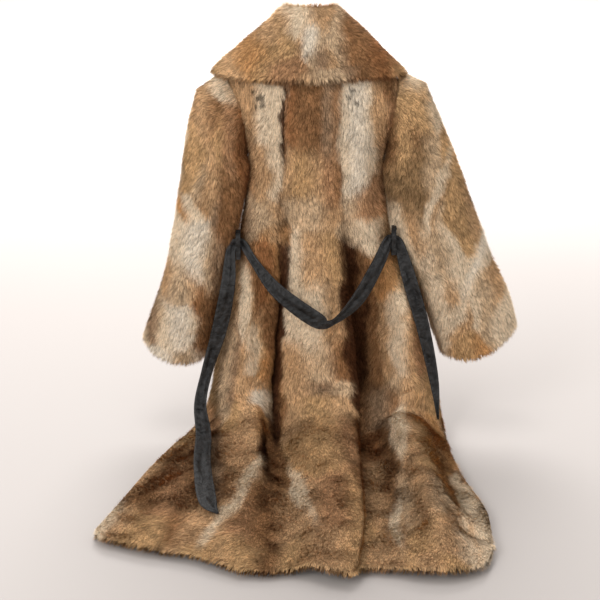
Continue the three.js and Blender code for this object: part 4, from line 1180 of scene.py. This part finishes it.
def belt_piece(leather, thread):
    """The belt as a soft, wrinkled strip, the stitches along both of its edges, and its area"""
    rows = rows_of(BELT)
    last = len(rows) - 1
    at = np.linspace(0, last, last * BELT_STEPS + 1)
    middle = curve(rows[:, :3], at)
    wide, turn = curve(rows[:, 3], at), np.radians(curve(rows[:, 4], at))
    ahead, behind = np.clip(at + SLOPE_STEP, 0, last), np.clip(at - SLOPE_STEP, 0, None)
    along = unit(curve(rows[:, :3], ahead) - curve(rows[:, :3], behind))
    facing = np.stack([0 * turn, -np.cos(turn), np.sin(turn)], -1)
    face = unit(facing - along * (facing * along).sum(-1, keepdims=True))
    edge = np.cross(face, along)
    across = np.array(BELT_ACROSS)
    rounded = np.clip(np.abs(across) - BELT_ROUND["start"], 0, None) / (1 - BELT_ROUND["start"])
    half = LEATHER / 2 * np.sqrt(1 - BELT_ROUND["thinner"] * rounded)
    run = run_along(middle)
    flat = middle[:, None] + edge[:, None] * (across * 0.5)[None, :, None] * wide[:, None, None]
    wrinkle = wrinkled(run, across)
    sides = [flat + face[:, None] * (side * half[None] + wrinkle)[..., None] for side in (1, -1)]
    verts = np.concatenate(sides).reshape(-1, 3)
    faces = facing_out(verts, np.concatenate(wall_faces(len(at), len(across))))
    strip = mesh_object("belt_strip", verts, faces.tolist(), [leather])

    stitches, quads = [], []
    for side in (-1, 1):
        for s in np.arange(STITCH["margin"], run[-1] - STITCH["margin"], STITCH["pitch"]):
            k = np.interp(s, run, np.arange(len(run)))
            low = min(int(k), len(run) - 2)
            t = k - low
            w, c, e, f, d = (v[low] * (1 - t) + v[low + 1] * t for v in (wide, middle, edge, face, along))
            if w < STITCH["narrowest"]:
                continue
            for skin in (1, -1):
                spot = c + e * side * (w / 2 - STITCH["inset"]) + f * skin * (LEATHER / 2 + STITCH["proud"])
                spot = spot + f * STITCH["sway"] * math.sin(s / STITCH["sway_length"])
                first = len(stitches)
                stitches += [spot + d * a + e * b + f * skin * h for a, b, h in STITCH_POINTS]
                quads += [tuple(first + corner for corner in corners) for corners in STITCH_FACES]
    seams = mesh_object("belt_stitches", stitches, quads, [thread])
    area = float((np.diff(run) * (wide[1:] + wide[:-1]) / 2).sum()) * MM * MM
    return strip, seams, area


def stage():
    size, z = FLOOR_HALF, FLOOR_Z - 1
    corners = [(-size, -size, z), (size, -size, z), (size, size, z), (-size, size, z)]
    mesh_object("floor", corners, [(0, 1, 2, 3)], [floor_material()])
    world = bpy.data.worlds.new("studio")
    world.use_nodes = True
    background = world.node_tree.nodes["Background"]
    background.inputs["Color"].default_value = (*SKY["colour"], 1)
    background.inputs["Strength"].default_value = SKY["strength"]
    bpy.context.scene.world = world
    bpy.context.scene.view_settings.view_transform = "Standard"
    for name, (spot, aim, size, power) in LAMPS.items():
        light = bpy.data.lights.new(name, "AREA")
        light.size, light.energy = size, power
        lamp = placed(name, light)
        lamp.location = spot
        x, y, z = np.array(aim) - np.array(spot)
        lamp.rotation_euler = (math.atan2(math.hypot(x, y), -z), 0, math.atan2(y, x) - math.pi / 2)
    camera = bpy.data.cameras.new("camera")
    camera.lens, camera.sensor_width = CAMERA["lens"], CAMERA["sensor"]
    eye = placed("camera", camera)
    eye.location = CAMERA["place"]
    eye.rotation_euler = (math.radians(CAMERA["tilt"]), 0, 0)
    bpy.context.scene.camera = eye


def off_floor(points, out):
    """Hairs grow where the skin doesn't lie on the floor."""
    return (out[..., 2] > HAIR_UNDER) | (points[..., 2] > FLOOR_Z + HAIR_ALOFT)


stage()
hair, skin, satin = fur_material(), skin_material(), satin_material()
leather, thread = leather_material(), thread_material()

# Edges of a piece that no seam holds
FREE_EDGES = {
    "back_skirt_left": ["hem"],
    "back_skirt_centre": ["hem"],
    "back_skirt_right": ["hem"],
    "front_bodice_left": ["last"],
    "front_bodice_right": ["last"],
    "front_skirt_left": ["hem", "last"],
    "front_skirt_right": ["hem", "last"],
    "sleeve_left": ["hem"],
    "sleeve_right": ["hem"],
    "collar": ["hem", "first", "last"],
}
# columns: node, its surface, its pelts, its flat cut's width and length in metres
PIECES = [
    ("back_bodice", back_surface("bodice", "left_seam", "right_seam"), BODY_PELTS, (0.45, 0.53)),
    ("back_skirt_left", back_surface("skirt", "left_seam", "left_valley"), BODY_PELTS, (0.41, 1.02)),
    ("back_skirt_centre", back_surface("skirt", "left_valley", "right_valley"), BODY_PELTS, (0.30, 1.02)),
    ("back_skirt_right", back_surface("skirt", "right_valley", "right_seam"), BODY_PELTS, (0.31, 1.01)),
    ("front_bodice_left", front_surface("left", "bodice"), plain_pelts(), (0.28, 0.53)),
    ("front_bodice_right", front_surface("right", "bodice"), plain_pelts(), (0.20, 0.52)),
    ("front_skirt_left", front_surface("left", "skirt"), plain_pelts(), (0.48, 1.02)),
    ("front_skirt_right", front_surface("right", "skirt"), plain_pelts(), (0.33, 1.03)),
    ("sleeve_left", sleeve_surface("left"), LEFT_SLEEVE_PELTS, (0.42, 0.62)),
    ("sleeve_right", sleeve_surface("right"), RIGHT_SLEEVE_PELTS, (0.47, 0.62)),
    ("collar", collar_surface(), COLLAR_PELTS, (0.77, 0.24)),
]
for number, (node, surface, pelts, cut) in enumerate(PIECES):
    inside, thicker = (skin, COLLAR_THICKER) if node == "collar" else (satin, 0)
    body = shell(node + "_skin", surface, pelts, skin, inside, thicker)
    keep = off_floor if "front_skirt" in node else None
    coat = fur(node + "_fur", surface, number, pelts, hair, FREE_EDGES.get(node, ()), keep)
    for piece in (body, coat):
        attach(piece, "root")
    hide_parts(node)

strip, seams, belt_area = belt_piece(leather, thread)
for piece in (strip, seams):
    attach(piece, "root")
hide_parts("belt")
loops = ["belt_loop_left", "belt_loop_right"]

for nodes, finish in (
    (("sleeve_lining_left", "sleeve_lining_right"), satin),
    (loops, leather),
    (("hanger",), wood_material()),
    (("hanger_hook",), wire_material()),
):
    for o in bpy.data.objects:
        if o.type == "MESH" and o.get("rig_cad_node") in nodes:
            o.data.materials.clear()
            o.data.materials.append(finish)
